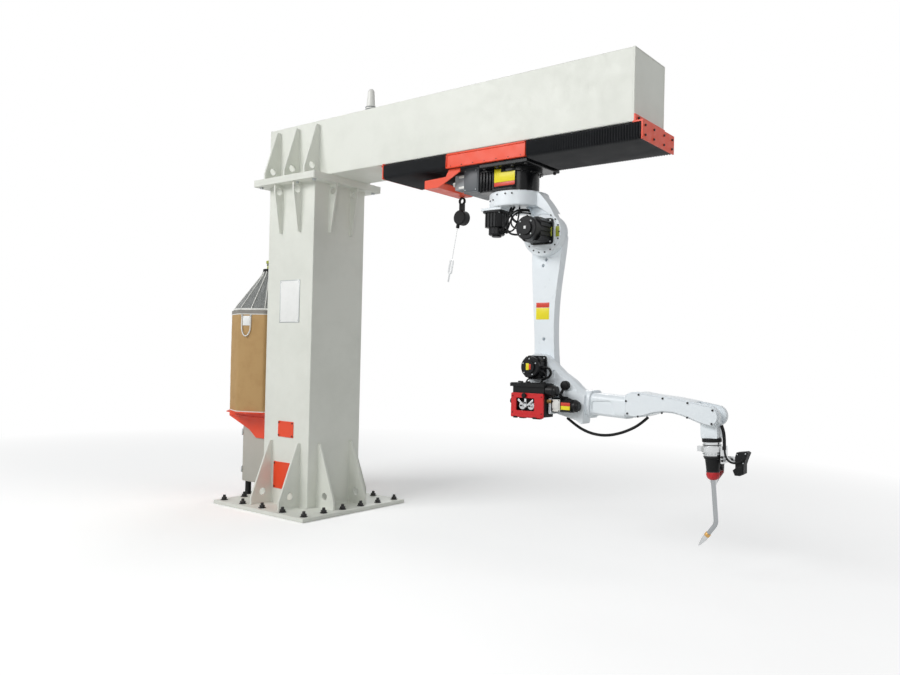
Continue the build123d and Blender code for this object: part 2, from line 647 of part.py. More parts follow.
def forearm_housing():
    start = roll_plane()
    ring = start * extrude(RectangleRounded(146, 138, 46), 22)
    tube = start * Pos(0, 0, 22) * extrude(RectangleRounded(124, 114, 30), FOREARM_REACH - FOREARM_FRONT - 22)
    panel = outline((44, 12), (150, 20), (182, -56), (46, -66))
    panel = side_plate(Pos(*along_roll(FOREARM_REACH + 12)) * fillet(panel.vertices(), 10), -80, -FOREARM_Y + 5)
    body = ring + tube + side_plate(forearm_outline(), -FOREARM_Y, FOREARM_Y) - panel - mirror(panel, Plane.XZ)
    fork = block(WRIST_X - KNUCKLE_R - 27, WRIST_X + 80, -FORK_Y, FORK_Y, WRIST_Z - 90, WRIST_Z + 110)
    return body - fork


def forearm_covers():
    near = side_plate(forearm_outline(3.5), -FOREARM_Y - 5, -FOREARM_Y)
    near += side_plate(forearm_outline(6.5), -FOREARM_Y - 8, -FOREARM_Y)
    return Compound(children=[near, mirror(near, Plane.XZ)])


def feeder_hose():
    points = [(2072, -44, 735), (2128, -50, 700), (2188, -52, 674), (2248, -46, 660), (2308, -34, 660),
              (2366, -20, 674), (2422, -8, 698), (2474, 0, 730), (2513, 0, 765.1)]
    return sweep_hose(points, 7)


def sweep_hose(points, r):
    vectors = [Vector(*p) for p in points]
    runs = [b - a for a, b in zip(vectors, vectors[1:])]
    radii = []
    for a, b in zip(runs, runs[1:]):
        turn = math.radians(a.get_angle(b))
        radii.append(0.45 * min(a.length, b.length) / math.tan(turn / 2))
    path = FilletPolyline(*points, radius=radii)
    start = Plane(path @ 0, z_dir=path % 0)
    return sweep(start * Circle(r), path=path)


# Wrist and torch, drawn hanging straight down from the wrist's centre and then leaned forward
RING_AT = 101
MOUNT_AT = 119
BODY_AT = 187
COLLAR_AT = 260
NECK_AT = 299


def hung(piece):
    return Pos(WRIST_X, 0, WRIST_Z) * Rot(0, -TORCH_LEAN, 0) * piece


def turned(*profile):
    """A round piece from its half section, given as radius and distance below the wrist."""
    return hung(revolve(Plane.XZ * outline(*[(r, -d) for r, d in profile]), Axis.Z))


def wrist_body():
    w = FORK_Y - FACE_GAP
    knuckle = side_plate(Circle(KNUCKLE_R), -w, w)
    side = outline((-KNUCKLE_R, 0), (KNUCKLE_R, 0), (KNUCKLE_R + 1, -RING_AT + 14), (38, -RING_AT + FACE_GAP),
                   (-38, -RING_AT + FACE_GAP), (-KNUCKLE_R - 1, -RING_AT + 14))
    gland = rod(KNUCKLE_R - 6, 0, -34, 9, 13, (1, 0, -0.5))
    return hung(knuckle + side_plate(side, -w, w) + gland)


def torch_flange():
    return turned((0, RING_AT), (44, RING_AT), (46, RING_AT + 2), (46, MOUNT_AT - 2), (44, MOUNT_AT), (0, MOUNT_AT))


def torch_mount():
    d = MOUNT_AT
    return turned((0, d), (42, d), (42, d + 14), (40.5, d + 16), (40.5, d + 20), (42, d + 22), (42, BODY_AT - 8),
                  (39, BODY_AT), (0, BODY_AT))


def torch_body():
    d = BODY_AT
    return turned((0, d), (40, d), (40, d + 10), (35, d + 14), (30, COLLAR_AT), (0, COLLAR_AT))


def torch_collar():
    d = COLLAR_AT
    return turned((0, d), (30, d), (31, d + 6), (31, d + 22), (26, d + 32), (16, NECK_AT), (0, NECK_AT))


NECK_R = 11
NECK_END = (-32, -556)
NECK_POINTS = [(0, 0, -NECK_AT - 0.5), (7, 0, -508), (NECK_END[0], 0, NECK_END[1])]


def swan_neck():
    path = FilletPolyline(*NECK_POINTS, radius=48)
    return hung(sweep(Plane(path @ 0, z_dir=path % 0) * Circle(NECK_R), path=path))


def gas_nozzle():
    end, before = Vector(*NECK_POINTS[-1]), Vector(*NECK_POINTS[-2])
    profile = outline((0, 0), (13.5, 0), (13.5, 30), (12, 34), (12, 40), (7, 66), (7, 70), (4, 70), (3.2, 80), (0, 80))
    return hung(Plane(end, z_dir=(end - before).normalized()) * revolve(Plane.XZ * profile, Axis.Z))


CLAMP_AT = 152


def sensor_bracket():
    """A split clamp on the torch mount, a rear plate beside the torch and an arm out to the sensor."""
    clamp = Pos(0, 0, -CLAMP_AT) * (Cylinder(52, 26) - Cylinder(42 + FACE_GAP, 40))
    lugs = block(-70, -46, -12, 12, -CLAMP_AT - 13, -CLAMP_AT + 13)
    lugs -= block(-80, -38, -2, 2, -CLAMP_AT - 20, -CLAMP_AT + 20)
    plate = outline((-36, -CLAMP_AT + 13), (30, -CLAMP_AT + 13), (42, -200), (36, -268), (12, -300),
                    (-14, -346), (-34, -318), (-42, -262))
    rear = side_plate(fillet(plate.vertices(), 5), 46, 51)
    post = block(46, 56, -20, 51, -220, -CLAMP_AT + 13)
    arm = block(56, 116, -5, 5, -212, -184)
    return hung(clamp + lugs + rear + post + arm)


def seam_sensor():
    face = outline((116, -186), (124, -163), (168, -158), (178, -165), (164, -198), (156, -220), (154, -262),
                   (136, -272), (112, -271), (103, -247), (116, -236))
    return hung(side_plate(face, -24, 24))


def sensor_cable():
    points = [(49.8, 0, -40.5), (57, -1, -62), (61, -3, -90), (62, -6, -122), (64, -14, -154), (72, -26, -184),
              (90, -34, -206), (116, -36, -214), (142, -36, -206), (158, -34, -192), (165, -28.5, -181)]
    return hung(sweep_hose(points, 5))


NODES = [
    base_plate, column, column_gussets, column_covers, seat_gussets, beam, beam_caps, guide_rails,
    end_plate_left, end_plate_right, beacon, wire_drum, drum_hood, hood_outlet, drum_bracket,
    junction_box, carriage_plate, carriage_skirts, robot_mount_plate, robot_base, connector_box,
    cable_connectors, hose_bracket, spring_balancer, balancer_hook, swivel_housing, swivel_motor,
    shoulder_motor, swivel_cables, lower_arm, elbow_housing, elbow_motor, roll_motor, elbow_cables,
    feeder_case, feeder_door, drive_rolls, feeder_motor, forearm_housing, forearm_covers, feeder_hose,
    wrist_body, torch_flange, torch_mount, torch_body, torch_collar, swan_neck, gas_nozzle,
    sensor_bracket, seam_sensor, sensor_cable,
]

PIECES = {make.__name__: make() for make in NODES}
PIECES["column_flange"] = flange(COLUMN_TOP)
PIECES["seat_plate"] = flange(FLANGE_TOP)
PIECES["bellows_left"] = bellows(END_PLATE_LEFT + END_PLATE_T, CARRIAGE_LEFT - FACE_GAP)
PIECES["bellows_right"] = bellows(CARRIAGE_RIGHT + FACE_GAP, END_PLATE_RIGHT - END_PLATE_T)

os.makedirs("parts", exist_ok=True)
for name, piece in PIECES.items():
    export_step(piece, f"parts/{name}.step")
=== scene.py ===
# %% [markdown]
# # A welding robot hung from a beam
# A six-axis arc welding arm hangs upside down from a carriage, which slides under a
# cantilever box beam on a steel column. The solids come packed as a fixed frame. This
# lesson dresses them: paint, machined steel, pleated covers, hoses, bolts and weld seams.

# %% Load the frame
import json
import math

import bmesh
import bpy
from mathutils import Matrix, Vector


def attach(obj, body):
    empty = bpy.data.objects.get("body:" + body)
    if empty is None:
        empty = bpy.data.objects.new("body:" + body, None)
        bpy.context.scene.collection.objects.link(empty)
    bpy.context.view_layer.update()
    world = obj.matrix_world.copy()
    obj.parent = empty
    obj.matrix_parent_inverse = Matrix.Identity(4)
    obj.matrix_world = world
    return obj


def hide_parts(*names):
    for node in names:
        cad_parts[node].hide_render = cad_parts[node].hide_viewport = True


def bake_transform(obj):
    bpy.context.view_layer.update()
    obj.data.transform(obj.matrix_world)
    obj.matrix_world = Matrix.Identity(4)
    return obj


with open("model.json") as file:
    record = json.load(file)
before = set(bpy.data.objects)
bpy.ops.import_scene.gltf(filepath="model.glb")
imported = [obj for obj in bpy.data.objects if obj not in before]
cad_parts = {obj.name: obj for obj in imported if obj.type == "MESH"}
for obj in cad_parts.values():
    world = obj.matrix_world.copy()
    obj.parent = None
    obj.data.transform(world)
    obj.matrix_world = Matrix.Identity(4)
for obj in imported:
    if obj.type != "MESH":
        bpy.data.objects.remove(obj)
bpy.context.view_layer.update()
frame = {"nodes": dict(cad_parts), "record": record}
nodes = frame["nodes"]
MM = 0.001  # the drawing is in millimetres, Blender works in metres
print("frame loaded:", len(nodes), "solids' nodes")

# %% [markdown]
# ## The camera
# The picture was taken from about chest height, in front of the beam's free end. Position
# and aim come from the straight edges of the column and beam. A small roll and lens shift
# finish the match, because the picture is cropped a little off its optical centre.

# %% Place the camera
CAMERA_PLACE = Vector((4.212, -3.696, 1.070))
CAMERA_AZIMUTH = math.radians(37.17)
CAMERA_ELEVATION = math.radians(0.42)
CAMERA_ROLL = math.radians(1.32)

camera = bpy.data.objects.new("camera", bpy.data.cameras.new("camera"))
bpy.context.scene.collection.objects.link(camera)
camera.data.sensor_width = 36.0
camera.data.lens = 31.49
camera.data.shift_x = -0.0280
camera.data.shift_y = 0.0109
ahead = Vector((-math.sin(CAMERA_AZIMUTH) * math.cos(CAMERA_ELEVATION),
                math.cos(CAMERA_AZIMUTH) * math.cos(CAMERA_ELEVATION),
                math.sin(CAMERA_ELEVATION)))
level = Vector((math.cos(CAMERA_AZIMUTH), math.sin(CAMERA_AZIMUTH), 0))
upright = level.cross(ahead)
right = level * math.cos(CAMERA_ROLL) + upright * math.sin(CAMERA_ROLL)
up = right.cross(ahead)
camera.matrix_world = Matrix.Translation(CAMERA_PLACE) @ Matrix((right, up, -ahead)).transposed().to_4x4()
bpy.context.scene.camera = camera

# %% [markdown]
# ## Light and floor
# A workshop hall lights the machine from above and from the open side. One broad lamp
# over the camera's left shoulder gives the front faces their tone. A small one lifts the
# arm, a weak one on the right keeps the beam's end readable, and one at the back draws the
# rear edges. The pale surroundings fill the shade.

# %% Set the lights and the floor
bpy.context.scene.view_settings.view_transform = "Standard"


def srgb(code):
    """A hex colour as linear red, green, blue and alpha."""
    channels = [int(code[i:i + 2], 16) / 255 for i in (1, 3, 5)]
    return [c / 12.92 if c <= 0.04045 else ((c + 0.055) / 1.055) ** 2.4 for c in channels] + [1.0]


def add_node(material, kind, inputs=None, **settings):
    """One node of a material or a tree: its settings, and its sockets filled or joined."""
    tree = getattr(material, "node_tree", material)
    node = tree.nodes.new(kind)
    for key, value in settings.items():
        setattr(node, key, value)
    for key, value in (inputs or {}).items():
        if isinstance(value, bpy.types.NodeSocket):
            tree.links.new(value, node.inputs[key])
        else:
            node.inputs[key].default_value = value
    return node


def add_lamp(name, place, aim, size, watts):
    """A rectangular lamp at one point, aimed at another."""
    lamp = bpy.data.objects.new(name, bpy.data.lights.new(name, "AREA"))
    bpy.context.scene.collection.objects.link(lamp)
    lamp.data.shape = "RECTANGLE"
    lamp.data.size, lamp.data.size_y = size
    lamp.data.energy = watts
    lamp.location = place
    lamp.rotation_mode = "QUATERNION"
    lamp.rotation_quaternion = (Vector(aim) - Vector(place)).to_track_quat("-Z", "Y")


add_lamp("hall_lamp", (-1.5, -6.5, 5.2), (0.9, 0, 1.3), (5.0, 3.0), 335)
add_lamp("arm_lamp", (3.4, -3.6, 2.6), (2.2, 0, 1.1), (1.4, 1.4), 26)
add_lamp("side_lamp", (6.8, 1.5, 4.2), (1.4, 0, 1.4), (3.0, 3.0), 40)
add_lamp("back_lamp", (-2.5, 5.5, 4.8), (0.6, 0, 1.4), (4.0, 3.0), 110)


def lens_rays(material):
    """1 for rays that reach the eye: straight, mirrored or through glass."""
    paths = add_node(material, "ShaderNodeLightPath").outputs
    mirrored = add_node(material, "ShaderNodeMath",
                        {0: paths["Is Camera Ray"], 1: paths["Is Glossy Ray"]}, operation="MAXIMUM")
    return add_node(material, "ShaderNodeMath",
                    {0: mirrored.outputs[0], 1: paths["Is Transmission Ray"]},
                    operation="MAXIMUM").outputs[0]


world = bpy.data.worlds.new("hall")
bpy.context.scene.world = world
world.use_nodes = True
world.node_tree.nodes.clear()
fill = add_node(world, "ShaderNodeBackground", {"Color": srgb("#eef1f4"), "Strength": 0.28})
backdrop = add_node(world, "ShaderNodeBackground", {"Color": (1, 1, 1, 1), "Strength": 1.0})
mixed = add_node(world, "ShaderNodeMixShader",
                 {0: lens_rays(world), 1: fill.outputs[0], 2: backdrop.outputs[0]})
add_node(world, "ShaderNodeOutputWorld", {"Surface": mixed.outputs[0]})

# %% A pale floor that keeps the shadow near the machine and fades to white further out
floor_mesh = bpy.data.meshes.new("floor")
floor_shape = bmesh.new()
bmesh.ops.create_grid(floor_shape, x_segments=1, y_segments=1, size=60.0)
floor_shape.to_mesh(floor_mesh)
floor_shape.free()
floor = bpy.data.objects.new("floor", floor_mesh)
floor.location.z = -0.001
bpy.context.scene.collection.objects.link(floor)
floor_paint = bpy.data.materials.new("pale floor paint")
floor_paint.use_nodes = True
floor_paint.node_tree.nodes.clear()
spot = add_node(floor_paint, "ShaderNodeTexCoord").outputs["Object"]
reach = add_node(floor_paint, "ShaderNodeVectorMath", {0: spot}, operation="LENGTH").outputs["Value"]
FADE_FROM, FADE_TO = 1.2, 5.5
fade = add_node(floor_paint, "ShaderNodeMapRange",
                {"Value": reach, "From Min": FADE_FROM, "From Max": FADE_TO})
eye = lens_rays(floor_paint)
dull = add_node(floor_paint, "ShaderNodeBsdfDiffuse", {"Color": srgb("#e9e9e6")})
bright = add_node(floor_paint, "ShaderNodeBsdfDiffuse", {"Color": (1.32, 1.32, 1.31, 1)})
near = add_node(floor_paint, "ShaderNodeMixShader", {0: eye, 1: dull.outputs[0], 2: bright.outputs[0]})
white = add_node(floor_paint, "ShaderNodeEmission", {"Color": (1, 1, 1, 1), "Strength": 1.0})
far = add_node(floor_paint, "ShaderNodeMath", {0: eye, 1: fade.outputs[0]}, operation="MULTIPLY")
floor_mix = add_node(floor_paint, "ShaderNodeMixShader",
                     {0: far.outputs[0], 1: near.outputs[0], 2: white.outputs[0]})
add_node(floor_paint, "ShaderNodeOutputMaterial", {"Surface": floor_mix.outputs[0]})
floor_mesh.materials.append(floor_paint)
print("lights and floor are set")

# %% [markdown]
# ## Sprayed paint
# Frame and castings are sprayed with two-part industrial enamel. Up close it has orange
# peel, a ripple of about 2 mm. From afar it shows soft clouds of dust and handling marks,
# and edges round over by a millimetre or two. The Bevel node rounds the sharp edges for
# the light, without changing any solid.


# %% Functions that every material shares
def principled(material):
    """The shader that a new material starts with."""
    return material.node_tree.nodes["Principled BSDF"]


def new_material(name):
    """A material with that shader and nothing else."""
    material = bpy.data.materials.new(name)
    material.use_nodes = True
    return material


def colour_between(material, share, colour, pale):
    """Two colours of one surface, mixed by a share from 0 to 1."""
    tint = add_node(material, "ShaderNodeMix", {"Factor": share, 6: srgb(colour), 7: srgb(pale)},
                    data_type="RGBA")
    material.node_tree.links.new(tint.outputs[2], principled(material).inputs["Base Color"])


def relief(material, gloss, height, strength, depth, edge_mm):
    """Gloss and fine relief, with sharp edges rounded for the light."""
    rounded = add_node(material, "ShaderNodeBevel", {"Radius": edge_mm * MM}, samples=4)
    bump = add_node(material, "ShaderNodeBump", {"Strength": strength, "Distance": depth,
                                                 "Height": height, "Normal": rounded.outputs[0]})
    shader = principled(material)
    material.node_tree.links.new(gloss, shader.inputs["Roughness"])
    material.node_tree.links.new(bump.outputs[0], shader.inputs["Normal"])


# %% A function for sprayed enamel
# A noise's scale counts waves in a metre: dust patches of about 320 mm, smears of 60 mm and an
# orange peel of 2.4 mm, a little coarser than the real one so that it shows.
DUST_SCALE, SMEAR_SCALE, PEEL_SCALE = 3.1, 17.0, 420.0


def enamel(name, colour, dust, roughness=0.42, edge_mm=2.0, peel=0.05, cloud=0.35):
    """Sprayed paint: base colour with dust clouds, orange peel and softened edges."""
    material = new_material(name)
    place = add_node(material, "ShaderNodeTexCoord").outputs["Object"]
    clouds = add_node(material, "ShaderNodeTexNoise",
                      {"Vector": place, "Scale": DUST_SCALE, "Detail": 6.0, "Roughness": 0.62})
    spread = add_node(material, "ShaderNodeMapRange",
                      {"Value": clouds.outputs["Fac"], "From Min": 0.42, "From Max": 0.74,
                       "To Min": 0.0, "To Max": cloud})
    colour_between(material, spread.outputs[0], colour, dust)
    smear = add_node(material, "ShaderNodeTexNoise",
                     {"Vector": place, "Scale": SMEAR_SCALE, "Detail": 4.0})
    gloss = add_node(material, "ShaderNodeMapRange",
                     {"Value": smear.outputs["Fac"], "From Min": 0.3, "From Max": 0.7,
                      "To Min": roughness - 0.06, "To Max": roughness + 0.09})
    ripple = add_node(material, "ShaderNodeTexNoise",
                      {"Vector": place, "Scale": PEEL_SCALE, "Detail": 1.0})
    relief(material, gloss.outputs[0], ripple.outputs["Fac"], peel, 0.001, edge_mm)
    return material


# %% [markdown]
# ## Metal, plastic and rubber
# Bare steel is brushed or turned, so its gloss is stretched one way. Moulded plastic has
# a fine grain. The pleated covers are coated cloth, nearly black and dull.


# %% Functions for metal and for moulded stuff
# Scratches repeat every 25 mm along the brushing and about every millimetre across it. The grain
# of a moulding is given in millimetres, and its film of dust has patches of about 110 mm.
BRUSHED_UPRIGHT, BRUSHED_LEVEL, POLISHED = (40, 40, 900), (900, 40, 40), (20, 20, 20)
FILM_SCALE = 9.0


def bare_metal(name, colour, roughness=0.3, grain=BRUSHED_UPRIGHT, edge_mm=1.0):
    """Brushed or turned metal: fine scratches along one way, stretched by the grain's scale."""
    material = new_material(name)
    place = add_node(material, "ShaderNodeTexCoord").outputs["Object"]
    stretched = add_node(material, "ShaderNodeMapping", {"Vector": place, "Scale": grain})
    scratches = add_node(material, "ShaderNodeTexNoise",
                         {"Vector": stretched.outputs[0], "Scale": 1.0, "Detail": 3.0})
    gloss = add_node(material, "ShaderNodeMapRange",
                     {"Value": scratches.outputs["Fac"], "From Min": 0.3, "From Max": 0.7,
                      "To Min": roughness - 0.08, "To Max": roughness + 0.12})
    relief(material, gloss.outputs[0], scratches.outputs["Fac"], 0.08, 0.0005, edge_mm)
    principled(material).inputs["Base Color"].default_value = srgb(colour)
    principled(material).inputs["Metallic"].default_value = 1.0
    return material


def moulded(name, colour, pale, roughness=0.5, grain_mm=0.8, edge_mm=1.5, grain=0.12):
    """Moulded plastic, rubber or cast housing: a fine pebble grain and a little dust."""
    material = new_material(name)
    place = add_node(material, "ShaderNodeTexCoord").outputs["Object"]
    dust = add_node(material, "ShaderNodeTexNoise",
                    {"Vector": place, "Scale": FILM_SCALE, "Detail": 5.0, "Roughness": 0.7})
    spread = add_node(material, "ShaderNodeMapRange",
                      {"Value": dust.outputs["Fac"], "From Min": 0.45, "From Max": 0.8,
                       "To Min": 0.0, "To Max": 0.45})
    colour_between(material, spread.outputs[0], colour, pale)
    pebbles = add_node(material, "ShaderNodeTexNoise",
                       {"Vector": place, "Scale": 1 / (grain_mm * MM), "Detail": 1.0})
    gloss = add_node(material, "ShaderNodeMapRange",
                     {"Value": dust.outputs["Fac"], "From Min": 0.3, "From Max": 0.7,
                      "To Min": roughness - 0.07, "To Max": roughness + 0.1})
    relief(material, gloss.outputs[0], pebbles.outputs["Fac"], grain, 0.0005, edge_mm)
    return material


# %% [markdown]
# ## The finishes
# Every finish is named for its stuff and for how its surface was made. Three functions mix
# all but the hood's clear plastic, so that each finish only says its colours, its gloss
# and the size of its grain.

# %% Mix the enamels
# The frame's enamel: warm pale grey, half dull, clouded by dust.
FRAME_PAINT = enamel("sprayed pale grey enamel", "#e6e8e0", "#c9ccc2", 0.46, 3.0)
# Signal orange, a touch glossier, so that its rims catch a line of light.
ORANGE_PAINT = enamel("sprayed orange enamel", "#ee471b", "#c93f22", 0.4, 1.5)
# The arm's castings: cool white with a wet gloss and large soft edges.
ARM_PAINT = enamel("cast aluminium in white enamel", "#f1f7fb", "#dde6ec", 0.32, 5.0, 0.03, 0.25)
# Powder coat on the feeder's door: deep red, even and satin.
RED_PAINT = enamel("red powder coat", "#d3161c", "#a01418", 0.4, 1.5)
# Carriage plates: dark grey that nearly disappears in the shade.
DARK_PAINT = enamel("dark grey enamel", "#2c2f33", "#45484c", 0.45, 1.5)
# The robot's base and small covers: black with clear bright highlights.
GLOSS_BLACK = moulded("black gloss enamel", "#0e0f11", "#26282b", 0.24, 2.0, 3.0, 0.04)
# The connector box: mid grey, its hammered skin breaks the highlight up.
BOX_GREY = moulded("dark grey hammered enamel", "#5b5f63", "#5a5d60", 0.42, 1.6, 2.0, 0.18)
print("enamels:", len(bpy.data.materials) - 1)

# %% Mix plastic, rubber and board
# Motor housings: black and satin, with a sandy cast grain.
MOTOR_BLACK = moulded("black cast motor housing", "#0c0d0f", "#232528", 0.36, 1.2, 2.0)
# Glands, plugs and feeder case: black and half dull.
PLASTIC_BLACK = moulded("black moulded nylon", "#0c0d0e", "#222326", 0.5)
# Hoses and leads: dull black with a thin dusty edge light.
RUBBER = moulded("black rubber hose", "#0b0c0d", "#1e1f22", 0.6, 0.6, 0.5)
# The torch's collar: saturated red with a soft highlight.
RED_PLASTIC = moulded("red moulded nylon", "#c31f26", "#8e1a20", 0.45)
# Ribs, clips and covers: milky white and smooth.
PALE_PLASTIC = moulded("pale moulded polycarbonate", "#e9e9e4", "#cfcfc8", 0.3, 0.8, 1.5, 0.03)
# The hood's outlet: a yellow-green spot that marks the wire's way.
YELLOW_GREEN = moulded("yellow-green moulded nylon", "#a3aa33", "#7f862c", 0.42)
# The drum: warm brown, dry and slightly fibrous.
CARTON = moulded("kraft board", "#bb9866", "#a47f52", 0.82, 2.2, 2.0, 0.2)
# Bare sign plates: printed film, flat bright yellow or red.
YELLOW_PLATE = moulded("yellow printed film", "#f2e21d", "#e0cf1c", 0.35, 2.0, 0.4, 0.02)
RED_PLATE = moulded("red printed film", "#d8402a", "#c03a28", 0.35, 2.0, 0.4, 0.02)

# %% Mix the bare metals
# Torch mount, hooks and rolls: bright grey, blurred along the brushing.
STEEL = bare_metal("brushed stainless steel", "#cdcfd0", 0.26)
# The swan neck: a polished tube that mirrors the floor.
NECK_STEEL = bare_metal("polished stainless tube", "#a5a8aa", 0.14, POLISHED)
# Rails: ground along their length, with long streaks.
GROUND_STEEL = bare_metal("ground rail steel", "#b9bcc0", 0.22, BRUSHED_LEVEL)
# Nozzle ring and fitting: warm yellow metal, soft from handling.
BRASS = bare_metal("turned brass", "#c9a063", 0.3)
# Blackened rings: nearly black with a brown tinge.
BLACK_OXIDE = moulded("black oxide steel", "#1b1b1d", "#3a3634", 0.5, 1.5, 0.8)
# Plug hoods: a light grey casting with a matt skin.
DIE_CAST = moulded("grey die-cast zinc alloy", "#8f9396", "#a9adb0", 0.45, 1.2, 1.5, 0.12)

# Black surfaces mirror less of the white hall than the shader's usual share, so that they stay black.
BLACK_SHINE = 0.22
for black in (MOTOR_BLACK, PLASTIC_BLACK, RUBBER, DARK_PAINT, GLOSS_BLACK):
    principled(black).inputs["Specular IOR Level"].default_value = BLACK_SHINE
print("finishes mixed:", len(bpy.data.materials) - 1)

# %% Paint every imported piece
FINISH = {
    "paint_pale": FRAME_PAINT, "paint_orange": ORANGE_PAINT, "cast_white": ARM_PAINT,
    "motor_black": MOTOR_BLACK, "dark_steel": DARK_PAINT, "steel": STEEL, "rail_steel": GROUND_STEEL,
    "bellows_black": RUBBER, "carton": CARTON, "hood_clear": PALE_PLASTIC,
    "fitting_green": YELLOW_GREEN, "lamp_white": PALE_PLASTIC, "feeder_red": RED_PAINT,
    "plastic_black": PLASTIC_BLACK, "hose_black": RUBBER, "collar_red": RED_PLASTIC, "brass": BRASS,
}
for part in frame["record"]["subparts"]:
    mesh = nodes[part["node"]].data
    mesh.materials.clear()
    mesh.materials.append(FINISH[part["material_slot"]])
print("painted", len(nodes), "nodes with", len(FINISH), "finishes")

# %% [markdown]
# ## Tools for shaping
# Three tools make most of the hand-built parts: a flat outline given thickness, a round
# form turned about an axis, and a cable along a smooth curve. All of them take
# millimetres, like the drawing, and every corner that a hand could touch is rounded.

# %% Shaping tools
PLANES = {"XZ": (0, 2, 1), "XY": (0, 1, 2)}
UP, DOWN, FRONT, REAR, OUT = (0, 0, 1), (0, 0, -1), (0, -1, 0), (0, 1, 0), (1, 0, 0)


def as_mesh(name, shape):
    """A finished shape as a mesh."""
    mesh = bpy.data.meshes.new(name)
    shape.to_mesh(mesh)
    shape.free()
    return mesh


def add_part(shape, part):
    """Puts one finished shape into another."""
    mesh = as_mesh("part", part)
    shape.from_mesh(mesh)
    bpy.data.meshes.remove(mesh)


def add_prism(shape, plane, points, low, high, rounding, steps=2):
    """A flat outline in one plane, given thickness across that plane, with rounded edges."""
    first, second, across = PLANES[plane]
    part = bmesh.new()
    rings = []
    for level in (low, high):
        ring = []
        for a, b in points:
            place = [0.0, 0.0, 0.0]
            place[first], place[second], place[across] = a * MM, b * MM, level * MM
            ring.append(part.verts.new(place))
        part.faces.new(ring)
        rings.append(ring)
    for k in range(len(points)):
        n = (k + 1) % len(points)
        part.faces.new((rings[0][k], rings[0][n], rings[1][n], rings[1][k]))
    bmesh.ops.recalc_face_normals(part, faces=part.faces)
    corners = [edge for edge in part.edges if edge.calc_face_angle(0) > math.radians(25)]
    bmesh.ops.bevel(part, geom=corners, offset=rounding * MM, offset_type="OFFSET", segments=steps,
                    profile=0.5, affect="EDGES", clamp_overlap=True)
    add_part(shape, part)


def add_slab(shape, low, high, rounding):
    """A plate or block between two corners, with rounded edges."""
    (x0, y0, z0), (x1, y1, z1) = low, high
    add_prism(shape, "XY", [(x0, y0), (x1, y0), (x1, y1), (x0, y1)], z0, z1, rounding)


def add_turned(shape, profile, at, axis=UP, around=40):
    """A round form: pairs of radius and height, turned about an axis that starts at a point."""
    part = bmesh.new()
    turns = [2 * math.pi * k / around for k in range(around)]
    rings = []
    for radius, height in profile:
        if radius == 0:
            rings.append([part.verts.new((0, 0, height * MM))] * around)
            continue
        places = [(radius * MM * math.cos(t), radius * MM * math.sin(t), height * MM) for t in turns]
        rings.append([part.verts.new(place) for place in places])
    for below, above in zip(rings, rings[1:]):
        for k in range(around):
            n = (k + 1) % around
            corners = list(dict.fromkeys((below[k], below[n], above[n], above[k])))
            if len(corners) > 2:
                part.faces.new(corners)
    bmesh.ops.recalc_face_normals(part, faces=part.faces)
    turn = Vector(axis).to_track_quat("Z", "Y").to_matrix().to_4x4()
    bmesh.ops.transform(part, matrix=Matrix.Translation(Vector(at) * MM) @ turn, verts=part.verts)
    add_part(shape, part)


# %% Keeping a shape as a piece
# Each finish that the frame knows has a slot.
SLOTS = {material.name: slot for slot, material in reversed(FINISH.items())}


def keep_mesh(name, mesh, material, body, replaced=(), crease=32):
    """Turns a mesh into a piece of the machine: finish, smooth shading and the body it rides on."""
    mesh.name = name
    mesh.materials.clear()
    mesh.materials.append(material)
    mesh.shade_smooth()
    mesh.set_sharp_from_angle(angle=math.radians(crease))
    piece = bpy.data.objects.new(name, mesh)
    bpy.context.scene.collection.objects.link(piece)
    if isinstance(body, str):
        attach(piece, body)
    else:
        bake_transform(piece)
    if replaced:
        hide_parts(*replaced)
    print(name, len(mesh.polygons), "faces on", body if isinstance(body, str) else body[:2])


def keep(name, shape, material, body, replaced=()):
    """Keeps a shape as a piece."""
    keep_mesh(name, as_mesh(name, shape), material, body, replaced)


def keep_slabs(name, material, body, slabs):
    """A piece made of plates: each is its two corners and the rounding of its edges."""
    shape = bmesh.new()
    for low, high, rounding in slabs:
        add_slab(shape, low, high, rounding)
    keep(name, shape, material, body)


def cable(name, points, radius, material, body, replaced=()):
    """A cable or hose along one smooth curve through its route's control points."""
    curve = bpy.data.curves.new(name, "CURVE")
    curve.dimensions = "3D"
    curve.bevel_depth = radius * MM
    curve.bevel_resolution = 5
    curve.resolution_u = 10
    curve.use_fill_caps = True
    spline = curve.splines.new("NURBS")
    spline.points.add(len(points) - 1)
    for point, place in zip(spline.points, points):
        point.co = (*[v * MM for v in place], 1.0)
    spline.order_u = 3
    spline.use_endpoint_u = True
    drawn = bpy.data.objects.new(name, curve)
    bpy.context.scene.collection.objects.link(drawn)
    ready = drawn.evaluated_get(bpy.context.evaluated_depsgraph_get())
    mesh = bpy.data.meshes.new_from_object(ready)
    bpy.data.objects.remove(drawn)
    keep_mesh(name, mesh, material, body, replaced)


# %% [markdown]
# ## What repeats
# Screws, nuts, weld beads and pleats repeat by the hundred, so node trees place them.
# Each tree has named inputs, and its result is kept as a plain mesh.

# %% A function that starts a node tree, and one that runs it
def new_tree(name, wanted):
    """A node tree with a geometry input, the wanted inputs and a geometry output."""
    tree = bpy.data.node_groups.new(name, "GeometryNodeTree")
    tree.interface.new_socket("Geometry", in_out="INPUT", socket_type="NodeSocketGeometry")
    for label, kind in wanted.items():
        tree.interface.new_socket(label, in_out="INPUT", socket_type="NodeSocket" + kind)
    tree.interface.new_socket("Geometry", in_out="OUTPUT", socket_type="NodeSocketGeometry")
    return tree, tree.nodes.new("NodeGroupInput").outputs


